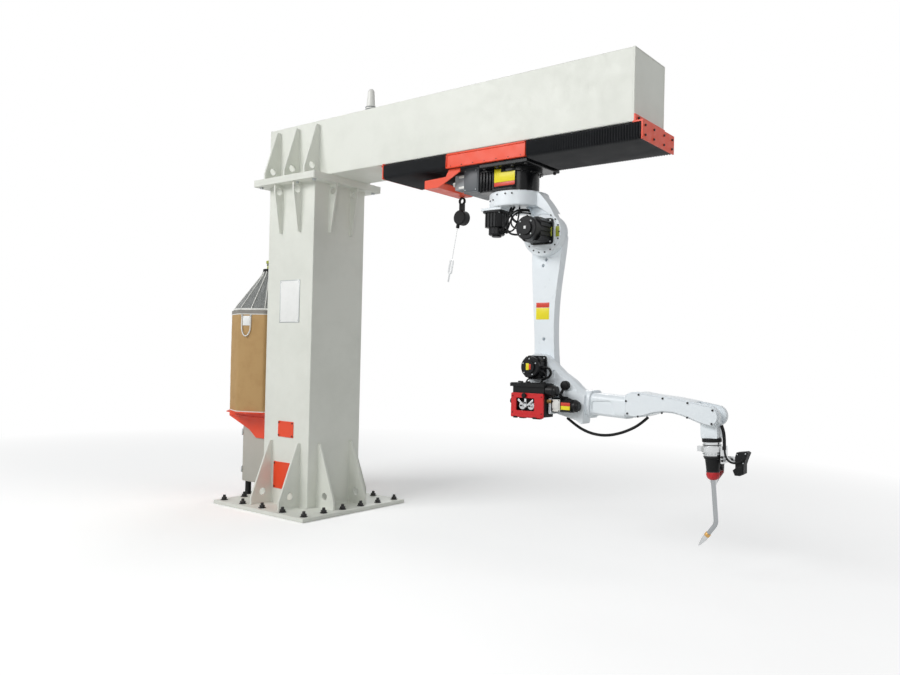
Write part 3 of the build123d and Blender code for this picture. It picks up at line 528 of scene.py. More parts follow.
def end_tree(tree, geometry, material):
    """Every tree ends the same way: loose instances made real, then painted."""
    real = add_node(tree, "GeometryNodeRealizeInstances", {"Geometry": geometry})
    painted = add_node(tree, "GeometryNodeSetMaterial", {"Geometry": real.outputs[0], "Material": material})
    add_node(tree, "NodeGroupOutput", {"Geometry": painted.outputs[0]})


def grow(name, tree, mesh, material, body, values, replaced=(), crease=32):
    """Runs a tree on a start mesh and keeps the result as a piece."""
    start = bpy.data.objects.new("start", mesh)
    bpy.context.scene.collection.objects.link(start)
    modifier = start.modifiers.new("grow", "NODES")
    modifier.node_group = tree
    sockets = {item.name: item.identifier for item in tree.interface.items_tree if item.in_out == "INPUT"}
    for label, value in {**values, "Material": material}.items():
        modifier[sockets[label]] = value
    ready = start.evaluated_get(bpy.context.evaluated_depsgraph_get())
    grown = bpy.data.meshes.new_from_object(ready)
    bpy.data.objects.remove(start)
    keep_mesh(name, grown, material, body, replaced, crease)


# %% The tree that stamps a fastener on every point
stamp_tree, given = new_tree("stamp_on_points", {"Stamp": "Object", "Turn": "Float", "Seed": "Int",
                                                 "Material": "Material"})
facing = add_node(stamp_tree, "GeometryNodeInputNamedAttribute", {"Name": "facing"}, data_type="FLOAT_VECTOR")
size = add_node(stamp_tree, "GeometryNodeInputNamedAttribute", {"Name": "size"}, data_type="FLOAT")
aimed = add_node(stamp_tree, "FunctionNodeAlignRotationToVector", {"Vector": facing.outputs[0]}, axis="Z")
limit = add_node(stamp_tree, "ShaderNodeCombineXYZ", {"Z": given["Turn"]})
spin = add_node(stamp_tree, "FunctionNodeRandomValue",
                {0: (0, 0, 0), 1: limit.outputs[0], "Seed": given["Seed"]}, data_type="FLOAT_VECTOR")
spun = add_node(stamp_tree, "FunctionNodeRotateRotation",
                {"Rotation": aimed.outputs[0], "Rotate By": spin.outputs[0]}, rotation_space="LOCAL")
stamp = add_node(stamp_tree, "GeometryNodeObjectInfo", {"Object": given["Stamp"]})
placed = add_node(stamp_tree, "GeometryNodeInstanceOnPoints",
                  {"Points": given["Geometry"], "Instance": stamp.outputs["Geometry"],
                   "Rotation": spun.outputs[0], "Scale": size.outputs[0]})
end_tree(stamp_tree, placed.outputs[0], given["Material"])

# %% Three fasteners, drawn at a size of 1 mm radius
STAMPS = {}
ORIGIN = (0, 0, 0)


def new_stamp(name, shape):
    """Keeps a drawn fastener for the stamping tree."""
    STAMPS[name] = bpy.data.objects.new(name, as_mesh(name, shape))


def hexagon(radius):
    """The corners of a nut or of a bolt's head."""
    return [(radius * math.cos(k * math.pi / 3), radius * math.sin(k * math.pi / 3)) for k in range(6)]


drawing = bmesh.new()
washer = [(0, 0), (1.36, 0), (1.42, 0.05), (1.42, 0.18), (1.36, 0.22), (0, 0.22)]
add_turned(drawing, washer, ORIGIN, around=24)
add_prism(drawing, "XY", hexagon(1.14), 0.22, 1.1, 0.09, 1)
add_turned(drawing, [(0, 1.0), (0.6, 1.0), (0.6, 1.9), (0.5, 2.02), (0, 2.02)], ORIGIN, around=18)
new_stamp("nut", drawing)

drawing = bmesh.new()
add_turned(drawing, [(0, 0), (1.3, 0), (1.3, 0.16), (0, 0.16)], ORIGIN, around=20)
add_prism(drawing, "XY", hexagon(1.0), 0.16, 0.9, 0.08, 1)
new_stamp("bolt", drawing)

drawing = bmesh.new()
head = [(0, 0), (1.0, 0), (1.0, 0.8), (0.86, 0.95), (0.5, 0.95), (0.46, 0.35), (0, 0.35)]
add_turned(drawing, head, ORIGIN, around=20)
new_stamp("cap_screw", drawing)


# %% Functions that set fasteners singly, at corners or on a circle
FULL_TURN = 6.28
TURN_SEED = 3


def fasten(name, kind, points, material, body):
    """Fasteners of one kind: each point is (x, y, z, direction, radius) in millimetres."""
    mesh = bpy.data.meshes.new(name)
    mesh.from_pydata([[v * MM for v in p[:3]] for p in points], [], [])
    facing = mesh.attributes.new("facing", "FLOAT_VECTOR", "POINT")
    facing.data.foreach_set("vector", [v for p in points for v in p[3]])
    mesh.attributes.new("size", "FLOAT", "POINT").data.foreach_set("value", [p[4] for p in points])
    grow(name, stamp_tree, mesh, material, body,
         {"Stamp": STAMPS[kind], "Turn": FULL_TURN, "Seed": TURN_SEED})


def at_corners(x, y, z, half_x, half_z, size):
    """Four fasteners at the corners of an upright rectangle that faces the front."""
    return [(x + i * half_x, y, z + k * half_z, FRONT, size) for i in (-1, 1) for k in (-1, 1)]


def on_circle(centre, radius, turns, way, size):
    """Fasteners on a circle, all facing one way along its axis."""
    x, y, z = centre
    spots = [(radius * math.cos(t), radius * math.sin(t)) for t in turns]
    if way[2]:
        return [(x + a, y + b, z, way, size) for a, b in spots]
    return [(x + a, y, z + b, way, size) for a, b in spots]


# %% The tree that lays a rippled weld bead along every line
weld_tree, given = new_tree("weld_beads", {"Radius": "Float", "Ripple": "Float", "Pitch": "Float",
                                           "Material": "Material"})
lines = add_node(weld_tree, "GeometryNodeMeshToCurve", {"Mesh": given["Geometry"]})
fine = add_node(weld_tree, "GeometryNodeResampleCurve", {"Curve": lines.outputs[0], "Length": 0.0022},
                mode="LENGTH")
ring = add_node(weld_tree, "GeometryNodeCurvePrimitiveCircle",
                {"Resolution": 6, "Radius": given["Radius"]})
bead = add_node(weld_tree, "GeometryNodeCurveToMesh",
                {"Curve": fine.outputs[0], "Profile Curve": ring.outputs[0]})
where = add_node(weld_tree, "GeometryNodeInputPosition")
along = add_node(weld_tree, "ShaderNodeVectorMath", {0: where.outputs[0], 1: (1, 1, 1)},
                 operation="DOT_PRODUCT")
phase = add_node(weld_tree, "ShaderNodeMath", {0: along.outputs["Value"], 1: given["Pitch"]},
                 operation="DIVIDE")
wave = add_node(weld_tree, "ShaderNodeMath", {0: phase.outputs[0]}, operation="SINE")
uneven = add_node(weld_tree, "ShaderNodeTexNoise", {"Vector": where.outputs[0], "Scale": 34.0})
height = add_node(weld_tree, "ShaderNodeMath", {0: wave.outputs[0], 1: uneven.outputs["Fac"]},
                  operation="ADD")
lift = add_node(weld_tree, "ShaderNodeMath", {0: height.outputs[0], 1: given["Ripple"]},
                operation="MULTIPLY")
outward = add_node(weld_tree, "GeometryNodeInputNormal")
push = add_node(weld_tree, "ShaderNodeVectorMath", {0: outward.outputs[0], "Scale": lift.outputs[0]},
                operation="SCALE")
rippled = add_node(weld_tree, "GeometryNodeSetPosition",
                   {"Geometry": bead.outputs[0], "Offset": push.outputs[0]})
end_tree(weld_tree, rippled.outputs[0], given["Material"])


RIPPLE_HEIGHT, RIPPLE_PITCH = 0.00045, 0.0011


def weld(name, seams, radius):
    """Beads of one radius along straight seams on the frame."""
    mesh = bpy.data.meshes.new(name)
    ends = [[v * MM for v in end] for seam in seams for end in seam]
    mesh.from_pydata(ends, [(2 * k, 2 * k + 1) for k in range(len(seams))], [])
    grow(name, weld_tree, mesh, FRAME_PAINT, "structure",
         {"Radius": radius * MM, "Ripple": RIPPLE_HEIGHT, "Pitch": RIPPLE_PITCH}, crease=80)


# %% The tree that folds a pleated cover over a bent path
pleat_tree, given = new_tree("pleated_cover", {"Folds": "Int", "Pitch": "Float", "Depth": "Float",
                                               "Start": "Float", "Corner": "Float",
                                               "Material": "Material"})
path = add_node(pleat_tree, "GeometryNodeMeshToCurve", {"Mesh": given["Geometry"]})
bent = add_node(pleat_tree, "GeometryNodeFilletCurve",
                {"Curve": path.outputs[0], "Count": 4, "Radius": given["Corner"], "Limit Radius": True},
                mode="POLY")
rise = add_node(pleat_tree, "ShaderNodeCombineXYZ", {"Y": given["Pitch"]})
spine = add_node(pleat_tree, "GeometryNodeMeshLine",
                 {"Count": given["Folds"], "Offset": rise.outputs[0]}, mode="OFFSET")
number = add_node(pleat_tree, "GeometryNodeInputIndex")
odd = add_node(pleat_tree, "ShaderNodeMath", {0: number.outputs[0], 1: 2.0}, operation="MODULO")
inward = add_node(pleat_tree, "ShaderNodeMath", {0: odd.outputs[0], 1: given["Depth"]},
                  operation="MULTIPLY")
fold = add_node(pleat_tree, "ShaderNodeCombineXYZ", {"X": inward.outputs[0]})
zigzag = add_node(pleat_tree, "GeometryNodeSetPosition",
                  {"Geometry": spine.outputs[0], "Offset": fold.outputs[0]})
profile = add_node(pleat_tree, "GeometryNodeMeshToCurve", {"Mesh": zigzag.outputs[0]})
cover = add_node(pleat_tree, "GeometryNodeCurveToMesh",
                 {"Curve": bent.outputs[0], "Profile Curve": profile.outputs[0]})
where = add_node(pleat_tree, "GeometryNodeInputPosition")
split = add_node(pleat_tree, "ShaderNodeSeparateXYZ", {0: where.outputs[0]}).outputs
shift = add_node(pleat_tree, "ShaderNodeMath", {0: given["Start"], 1: split["Z"]},
                 operation="SUBTRACT")
laid = add_node(pleat_tree, "ShaderNodeCombineXYZ",
                {"X": shift.outputs[0], "Y": split["X"], "Z": split["Y"]})
turned_over = add_node(pleat_tree, "GeometryNodeSetPosition",
                       {"Geometry": cover.outputs[0], "Position": laid.outputs[0]})
end_tree(pleat_tree, turned_over.outputs[0], given["Material"])
print("node trees:", [tree.name for tree in bpy.data.node_groups])

# %% [markdown]
# ## The slide's pleated covers
# Both covers hang round the rails like an upturned gutter and fold up as the carriage
# moves. Their outer folds catch a thin line of light.

# %% Fold the covers
# Coated cloth: nearly black, with a fine weave that dulls it.
CLOTH = moulded("black coated bellows cloth", "#101317", "#2b2e33", 0.55, 0.7, 0.6, 0.25)
SLOTS[CLOTH.name] = "bellows_black"
SIDE_Y, RIM_Z, FLOOR_Z = 0.180, 2.213, 2.138
FOLD_WIDTH, FOLD_DEPTH, CORNER_RADIUS = 15, 0.012, 0.014
HELD_END, MIDDLE_Z = 4, 2.17
for side, x0, x1, joined in (("left", 808, 1307.7, ("structure", "carriage")),
                             ("right", 1858.3, 2532, ("carriage", "structure"))):
    gutter = bpy.data.meshes.new("gutter")
    gutter.from_pydata([(-SIDE_Y, RIM_Z, 0), (-SIDE_Y, FLOOR_Z, 0), (SIDE_Y, FLOOR_Z, 0), (SIDE_Y, RIM_Z, 0)],
                       [(0, 1), (1, 2), (2, 3)], [])
    folds = 2 * round((x1 - x0) / FOLD_WIDTH)
    ends = (((x0 + HELD_END) * MM, 0, MIDDLE_Z), ((x1 - HELD_END) * MM, 0, MIDDLE_Z))
    values = {"Folds": folds + 1, "Pitch": (x1 - x0) * MM / folds, "Depth": FOLD_DEPTH,
              "Start": x0 * MM, "Corner": CORNER_RADIUS}
    grow("bellows_cloth_" + side, pleat_tree, gutter, CLOTH, (*joined, *ends), values,
         ("bellows_" + side,), crease=20)

# %% [markdown]
# ## Column and beam
# The column is a welded box, so every stiffener has a bead on both sides. Anchor nuts
# hold the base plate, and bolts between the upper stiffeners hold the beam's seat.

# %% Weld beads along the stiffeners, the base and the seat
HALF_STIFFENER = 7
# Beads sit a millimetre off what they join: the column's wall, the plates at its foot and head,
# and the beam's side and underside.
WALL, FOOT_Z, HEAD_Z, BEAM_Z, BEAM_SIDE = 231, 26, 2179, 2225, 176


def around(lines):
    """The same lines on all four sides of the column."""
    turned = []
    for k in range(4):
        c, s = round(math.cos(k * math.pi / 2)), round(math.sin(k * math.pi / 2))
        turned += [tuple((x * c - y * s, x * s + y * c, z) for x, y, z in line) for line in lines]
    return turned


def both_sides(place):
    """A bead runs along either side of a stiffener."""
    return (place - HALF_STIFFENER, place + HALF_STIFFENER)


seams = []
for y in (-142, 142):
    for edge in both_sides(y):
        seams += [((WALL, edge, FOOT_Z + 1), (WALL, edge, 442)),
                  ((WALL + 3, edge, FOOT_Z), (394, edge, FOOT_Z))]
for y in (-95, 95):
    for edge in both_sides(y):
        seams += [((WALL, edge, 1858), (WALL, edge, HEAD_Z - 1)),
                  ((WALL + 3, edge, HEAD_Z), (297, edge, HEAD_Z))]
seams += [((WALL - 1, -224, z), (WALL - 1, 224, z)) for z in (FOOT_Z, HEAD_Z)]
seams = around(seams)
for x in (-200, 0, 200):
    for edge in both_sides(x):
        for side in (-1, 1):
            seams.append(((edge, side * BEAM_SIDE, BEAM_Z + 1), (edge, side * BEAM_SIDE, 2560)))
            seams.append(((edge, side * (BEAM_SIDE + 2), BEAM_Z), (edge, side * 300, BEAM_Z)))
seams += [((-300, side * BEAM_SIDE, BEAM_Z), (305, side * BEAM_SIDE, BEAM_Z)) for side in (-1, 1)]
weld("weld_seams", seams, 4.2)
outline = [((171, 2228), (171, 2592)), ((-171, 2228), (-171, 2592)),
           ((171, 2592), (-171, 2592)), ((171, 2228), (-171, 2228))]
caps = [((x, y0, z0), (x, y1, z1)) for x in (2485, -305) for (y0, z0), (y1, z1) in outline]
weld("beam_cap_seams", caps, 2.6)

# %% [markdown]
# ## Nuts, bolts and screws
# A tight fastener ends up turned at any angle. Each point carries a place, a direction and
# a radius, and the tree sets one drawn fastener on it, because hundreds of modelled screws
# would be slow to make and dull to read.

# %% Anchor nuts, flange bolts and screws
# Oiled black screws: dark, with a small sharp glint.
BLACK_SCREW = moulded("black oxide screw", "#141415", "#2e2b28", 0.42, 1.0, 0.4)
# Zinc plating: pale bluish grey, a little blurred.
ZINC = bare_metal("zinc plated steel", "#b7bbbc", 0.34)
SLOTS[BLACK_SCREW.name] = "dark_steel"
SLOTS[ZINC.name] = "steel"
ANCHOR = 410
grid = [(-ANCHOR + 205 * k, side, 25, UP, 17) for k in range(5) for side in (-ANCHOR, ANCHOR)]
grid += [(side, -ANCHOR + 164 * k, 25, UP, 17) for k in range(1, 5) for side in (-ANCHOR, ANCHOR)]
fasten("anchor_nuts", "nut", grid, BLACK_SCREW, "structure")
seat = [(x, y, 2224, UP, 12) for x in (-270, -100, 100, 270) for y in (-270, 270)]
seat += [(x, y, 2180, DOWN, 12) for x, y, *_ in seat]
fasten("seat_bolts", "bolt", seat, ZINC, "structure")
covers = at_corners(0, -234, 528, 68, 43, 5) + at_corners(0, -234, 214, 104, 79, 5)
fasten("cover_screws", "cap_screw", covers, BLACK_SCREW, "structure")
ends = [(2540, y, z, OUT, 6) for y in (-160, -60, 60, 160) for z in (2152, 2200)]
ends += [(2493, y, 2246, OUT, 7) for y in (-140, 140)]
fasten("end_plate_screws", "cap_screw", ends, BLACK_SCREW, "structure")

# %% [markdown]
# ## The sign
# A white board in a metal frame is riveted to the column. The frame stands proud of the
# board, because its thin shadow is what sets the board off.

# %% A blank sign on the column, in a thin metal frame
# Painted board: clean white and satin.
WHITE_BOARD = moulded("white painted board", "#f4f5f3", "#dcdedb", 0.35, 2.0, 1.0, 0.02)
SLOTS[WHITE_BOARD.name] = "lamp_white"
keep_slabs("sign_board", WHITE_BOARD, "structure", [((-88, -233, 1250), (106, -230.2, 1530), 0.8)])
bars = ((-91, -86, 1247, 1533), (104, 109, 1247, 1533), (-91, 109, 1247, 1252), (-91, 109, 1528, 1533))
keep_slabs("sign_frame", ZINC, "structure",
           [((x0, -234.5, z0), (x1, -230.2, z1), 1.0) for x0, x1, z0, z1 in bars])
fasten("sign_rivets", "cap_screw", at_corners(9, -233, 1390, 87, 128, 2.6), ZINC, "structure")

# %% [markdown]
# ## The wire drum
# Welding wire comes in an octagonal board drum with a clear ribbed hood, which stands on
# an orange bracket. The board bulges a little between foot and lid, and a grey lid caps it.

# %% Board drum with its edge bands and lid
DRUM_X = -500


def octagon(across, rounding=14, steps=4):
    """An eight-sided outline with rounded corners about the drum's axis, one corner towards the column."""
    radius = across / 2 / math.cos(math.pi / 8)
    corners = [radius * Vector((math.cos(k * math.pi / 4), math.sin(k * math.pi / 4))) for k in range(8)]
    points = []
    for k, corner in enumerate(corners):
        a = corner + (corners[k - 1] - corner).normalized() * rounding
        b = corner + (corners[(k + 1) % 8] - corner).normalized() * rounding
        for step in range(steps + 1):
            t = step / steps
            point = a * (1 - t) ** 2 + corner * 2 * t * (1 - t) + b * t ** 2
            points.append((point.x + DRUM_X, point.y))
    return points


def keep_walls(name, material, rings, replaced=()):
    """A closed skin through octagons above each other: pairs of width across the flats and height."""
    shape = bmesh.new()
    levels = [[shape.verts.new((x * MM, y * MM, z * MM)) for x, y in octagon(across)] for across, z in rings]
    for below, above in zip(levels, levels[1:]):
        for k in range(len(below)):
            n = (k + 1) % len(below)
            shape.faces.new((below[k], below[n], above[n], above[k]))
    shape.faces.new(levels[0])
    shape.faces.new(levels[-1])
    bmesh.ops.recalc_face_normals(shape, faces=shape.faces)
    keep(name, shape, material, "structure", replaced)


# The lid's edge: grey fibreboard, dry and dull.
LID_GREY = moulded("grey painted fibreboard", "#8d8983", "#a39f98", 0.7, 2.0, 1.0, 0.2)
SLOTS[LID_GREY.name] = "carton"
rings = []
for k in range(19):
    bulge = 1.6 * math.sin(math.pi * k / 18) + 0.5 * math.sin(2.3 * k)
    rings.append((490 + 2 * bulge, 617.5 + k * 718 / 18))
keep_walls("drum_board", CARTON, rings, ("wire_drum",))
keep_walls("drum_foot_edge", PALE_PLASTIC, [(495, 609.5), (496, 611), (496, 622), (495, 623)])
keep_walls("drum_rim_edge", PALE_PLASTIC, [(494, 1306), (495.5, 1307), (495.5, 1311), (494, 1312)])
keep_walls("drum_lid_edge", LID_GREY, [(493, 1312), (494.5, 1313), (494.5, 1334), (490, 1337)])

# %% [markdown]
# ## Strap and label
# A woven strap hangs in a loop from two rivets, and a smooth curve through nine points sags
# as cloth does. The label is a thin slab, because a flat picture would have no edge.

# %% The carrying strap and a blank delivery label on the board
# Woven polyester: white and fuzzy, without a highlight.
STRAP = moulded("white woven polyester strap", "#efefeb", "#c9c8c2", 0.7, 0.9, 0.4, 0.3)
SLOTS[STRAP.name] = "lamp_white"
FACE_COS, FACE_SIN = 0.924, 0.383


def on_front_face(along, out, z):
    """A point on the drum's front board: distance along it, distance off it, and height."""
    return (DRUM_X + FACE_COS * along + FACE_SIN * out, -266 + FACE_SIN * along - FACE_COS * out, z)


shape = bmesh.new()
corners = [on_front_face(along, out, 0)[:2] for along, out in ((36, 0.5), (92, 0.5), (92, 3), (36, 3))]
add_prism(shape, "XY", corners, 1228, 1296, 0.5)
keep("delivery_label", shape, WHITE_BOARD, "structure")
loop = [(30, 2, 1300), (28, 4, 1240), (32, 6, 1190), (48, 8, 1160), (64, 8, 1152), (80, 8, 1160),
        (96, 6, 1190), (100, 4, 1240), (98, 2, 1300)]
cable("drum_strap", [on_front_face(*point) for point in loop], 4.5, STRAP, "structure")
rivets = [(*on_front_face(along, 1, 1298), (FACE_SIN, -FACE_COS, 0), 7) for along in (30, 98)]
fasten("strap_rivets", "cap_screw", rivets, ZINC, "structure")

# %% [markdown]
# ## The clear hood
# The hood is blown in one piece, and ribs stiffen it. A thin turned wall gives the cone and
# sixteen flat prisms give the ribs. Only the wall is see-through, so that the ribs stay
# readable as pale lines.

# %% The clear ribbed hood: a thin cone, its white ribs and rim
# Blow-moulded polycarbonate: smoky clear with cloudy haze, so that the inside only glimmers through.
CLEAR = new_material("smoky clear blow-moulded polycarbonate")
place = add_node(CLEAR, "ShaderNodeTexCoord").outputs["Object"]
haze = add_node(CLEAR, "ShaderNodeTexNoise", {"Vector": place, "Scale": 14.0, "Detail": 5.0})
cloudy = add_node(CLEAR, "ShaderNodeMapRange",
                  {"Value": haze.outputs["Fac"], "From Min": 0.35, "From Max": 0.7,
                   "To Min": 0.42, "To Max": 0.66})
clear = principled(CLEAR)
clear.inputs["Base Color"].default_value = srgb("#8b8e8c")
clear.inputs["Roughness"].default_value = 0.16
CLEAR.node_tree.links.new(cloudy.outputs[0], clear.inputs["Alpha"])
SLOTS[CLEAR.name] = "hood_clear"
HOOD_FOOT = 1337
CLAMP_Z = 1637
shape = bmesh.new()
cone = [(247, 0), (247, 12), (240, 22), (60, 262), (47, 286), (45, 300), (42, 300), (44, 285), (57, 260),
        (237, 20), (243, 12), (243, 0), (247, 0)]
add_turned(shape, cone, (DRUM_X, 0, HOOD_FOOT), around=96)
keep("hood_shell", shape, CLEAR, "structure", ("drum_hood",))
shape = bmesh.new()
rim = [(249, 0), (252, 3), (252, 10), (247, 14), (244, 14), (244, 0), (249, 0)]
add_turned(shape, rim, (DRUM_X, 0, HOOD_FOOT), around=96)
for k in range(16):
    rib = bmesh.new()
    outline = [(50, 292), (58, 264), (240, 22), (246, 12), (249, 14), (244, 26), (62, 270), (53, 296)]
    add_prism(rib, "XZ", outline, -3, 3, 1.0)
    turn = Matrix.Rotation(2 * math.pi * k / 16, 4, "Z")
    move = Matrix.Translation((DRUM_X * MM, 0, HOOD_FOOT * MM))
    bmesh.ops.transform(rib, matrix=move @ turn, verts=rib.verts)
    add_part(shape, rib)
keep("hood_ribs", shape, PALE_PLASTIC, "structure")
shape = bmesh.new()
clamp = [(26, -5), (49, -5), (51, -2), (51, 11), (46, 14), (26, 14), (26, -5)]
add_turned(shape, clamp, (DRUM_X, 0, CLAMP_Z), around=48)
add_turned(shape, [(21, 40), (25, 41), (25, 49), (21, 50), (21, 40)], (DRUM_X, 0, CLAMP_Z), around=40)
keep("hood_clamp_ring", shape, PLASTIC_BLACK, "structure")

# %% [markdown]
# ## Cabinet and beacon
# Sheet metal doors stand a few millimetres proud of their cabinet. Thin slabs show that
# step and its shadow, which a drawn line could not.

# %% The cabinet under the drum: door, hinges, turn lock and its two black feet
# Cabinet enamel: a warm grey, dull beside the frame's.
CABINET = enamel("warm grey cabinet enamel", "#b9b7ae", "#a4a299", 0.5, 2.0)
SLOTS[CABINET.name] = "paint_pale"
nodes["junction_box"].data.materials[0] = CABINET
keep_slabs("cabinet_doors", CABINET, "structure", [
    ((-628, -107, 108), (-246, -104, 490), 1.2),
    ((-628, 104, 108), (-246, 107, 490), 1.2),
    ((-638, -96, 108), (-635, 96, 490), 1.2)])
shape = bmesh.new()
for z in (160, 430):
    add_turned(shape, [(0, 0), (5, 0), (6, 2), (6, 44), (5, 46), (0, 46)], (-632, -109, z), around=20)
add_turned(shape, [(0, 0), (13, 0), (13, 5), (11, 7), (0, 7)], (-270, -107, 300), FRONT, around=28)
add_slab(shape, (-273, -118, 290), (-267, -113, 310), 1.0)
keep("cabinet_hardware", shape, ZINC, "structure")
shape = bmesh.new()
foot = [(0, 0.5), (30, 0.5), (32, 3), (32, 8), (24, 14), (21.5, 20), (21.5, 97), (0, 97)]
for y in (-72, 72):
    add_turned(shape, foot, (-600, y, 0), around=36)
keep("cabinet_feet", shape, PLASTIC_BLACK, "structure")

# %% Bracket ribs and bolts, and the warning beacon's rings
keep_slabs("bracket_ribs", ORANGE_PAINT, "structure", [
    ((-760, -122, 566), (-240, -115, 574), 1.0),
    ((-760, 115, 566), (-240, 122, 574), 1.0)])
bolts = [(-262, side * 123, z, (0, side, 0), 8) for side in (-1, 1) for z in (450, 500, 550)]
fasten("bracket_bolts", "bolt", bolts, ZINC, "structure")
# Grey nylon: mid grey and half dull.
GREY_PLASTIC = moulded("grey moulded nylon", "#8b8f91", "#a5a8a9", 0.5)
SLOTS[GREY_PLASTIC.name] = "plastic_black"
shape = bmesh.new()
BEACON_X, BEACON_Z = 500, 2596
base = [(20, 0), (41, 0), (41, 6), (36, 10), (27, 13), (20, 13), (20, 0)]
add_turned(shape, base, (BEACON_X, 0, BEACON_Z), around=48)
band = [(30, 0), (36, 0), (36.8, 1.5), (36.8, 4.5), (36, 6), (30, 6), (30, 0)]
for z in (60, 74):
    add_turned(shape, band, (BEACON_X, 0, BEACON_Z + z), around=48)
keep("beacon_rings", shape, GREY_PLASTIC, "structure")
screws = on_circle((BEACON_X, 0, 2604), 34, (0.6, 2.7, 4.8), UP, 3)
fasten("beacon_screws", "cap_screw", screws, ZINC, "structure")

# %% [markdown]
# ## The carriage
# Its orange skirts are folded trays with a rim, held by small screws. Under it sit the
# dark connector box with two bright plug hoods, the arm's glossy round base and a bare
# yellow and red plate.

# %% Skirt rims, screws and plates
skirt_rims = []
for side in (-1, 1):
    a, b = sorted((side * 184, side * 190))
    skirt_rims += [((1308, a, 2208), (1858, b, 2216), 1.0), ((1308, a, 2136), (1314, b, 2216), 1.0),
                   ((1852, a, 2136), (1858, b, 2216), 1.0), ((1308, a, 2134), (1858, b, 2140), 1.0)]
keep_slabs("skirt_rims", ORANGE_PAINT, "carriage", skirt_rims)
screws = [(1340 + 81 * k, side * 185, 2145, (0, side, 0), 2.6) for k in range(7) for side in (-1, 1)]
fasten("skirt_screws", "cap_screw", screws, BLACK_SCREW, "carriage")
screws = [(x, y, 2109, DOWN, 9) for x in (1560, 1650, 1750, 1838) for y in (-150, 150)]
screws += on_circle((1700, 0, 2085), 120, (-0.9, -0.45, 0, 0.45, 0.9), DOWN, 6)
fasten("mount_bolts", "cap_screw", screws, BLACK_SCREW, "carriage")
for node, finish in (("robot_base", GLOSS_BLACK), ("robot_mount_plate", GLOSS_BLACK),
                     ("connector_box", BOX_GREY), ("cable_connectors", DIE_CAST)):
    nodes[node].data.materials[0] = finish
keep_slabs("yellow_plate", YELLOW_PLATE, "carriage", [((1606, -118.2, 2030), (1746, -116.7, 2104), 0.5)])
keep_slabs("red_plate", RED_PLATE, "carriage", [((1606, -118.2, 2008), (1746, -116.7, 2029), 0.5)])
shape = bmesh.new()
for x in (1508, 1530, 1552, 1574):
    add_prism(shape, "XY", [(x, -120), (x + 10, -120), (x + 12, -112), (x - 2, -112)], 1992, 2096, 1.2)
add_slab(shape, (1500, -119, 2096), (1596, -112, 2104), 1.2)
add_slab(shape, (1598, -116.6, 2000), (1750, -111.5, 2108), 1.0)
keep("base_posts", shape, GLOSS_BLACK, "carriage")
keep_slabs("box_cover", BOX_GREY, "carriage", [((1396, -123, 2000), (1488, -120, 2126), 1.5)])
fasten("box_screws", "cap_screw", at_corners(1442, -123, 2063, 38, 55, 3.4), ZINC, "carriage")

# %% Plug hoods with locking clips and cable glands
shape = bmesh.new()
gland = [(0, 0), (17, 0), (17, 10), (14, 12), (14, 20), (0, 20)]
for y in (-78, 22):
    for z in (2030, 2092):
        clip = [(1352, z - 7), (1390, z - 7), (1392, z), (1390, z + 7), (1352, z + 7), (1346, z)]
        add_prism(shape, "XZ", clip, y - 36, y - 32, 1.0)
    add_turned(shape, gland, (1307, y, 2061), (-1, 0, 0), around=28)
keep("plug_hood_clips", shape, PALE_PLASTIC, "carriage")

# %% Small bright zinc clips along the bellows' upper edge: painted highlights that stand for the pleat tops catching the light
stations = [830 + 17 * k for k in range(100)]
# Each clip is a painted highlight: a bright mark where a pleat top catches the light
clips = [(x, side * 182, 2222, (0, side, -0.3), 2.4)
         for x in stations if abs(x - 1583) > 282 for side in (-1, 1)]
fasten("bellows_clips", "cap_screw", clips, ZINC, "structure")

# %% [markdown]
# ## Motors, leads and labels
# Each motor bolts on through an eared flange. Its leads leave through round plugs and
# hang in short loops, so a smooth curve through a few points draws them best.

# %% The screws of the two upper motors, of the shoulder's ring and of the swivel's disc
SWIVEL_X, SHOULDER_X, SHOULDER_Z, ELBOW_Z = 1700, 1900, 1740, 1002
screws = at_corners(SHOULDER_X, -74, SHOULDER_Z, 57, 57, 5)
screws += [(1612 + x, -90 + y, 1859, DOWN, 4.5) for x in (-50, 50) for y in (-50, 50)]
fasten("motor_ear_screws", "cap_screw", screws, ZINC, "swivel")
bell = at_corners(SHOULDER_X, -229, SHOULDER_Z, 34, 34, 4.2)
fasten("bell_screws", "cap_screw", bell, ZINC, "swivel")
screws = on_circle((1898, -62, 1734), 107, [k * math.pi / 9 for k in range(-9, 4)], FRONT, 4.2)
fasten("shoulder_ring_screws", "cap_screw", screws, BLACK_SCREW, "swivel")
screws = []
for degrees, z in ((-102, 1950), (-83, 1950), (-70, 1950), (-114, 1925), (-128, 1925), (60, 1950),
                   (90, 1950), (120, 1950)):
    c, s = math.cos(math.radians(degrees)), math.sin(math.radians(degrees))
    screws.append((SWIVEL_X + 170 * c, 170 * s, z, (c, s, 0), 4.6))
screws += on_circle((SWIVEL_X, 0, 1885), 150, [1.0 + 0.42 * k for k in range(6)], DOWN, 5)
fasten("disc_screws", "cap_screw", screws, BLACK_SCREW, "swivel")

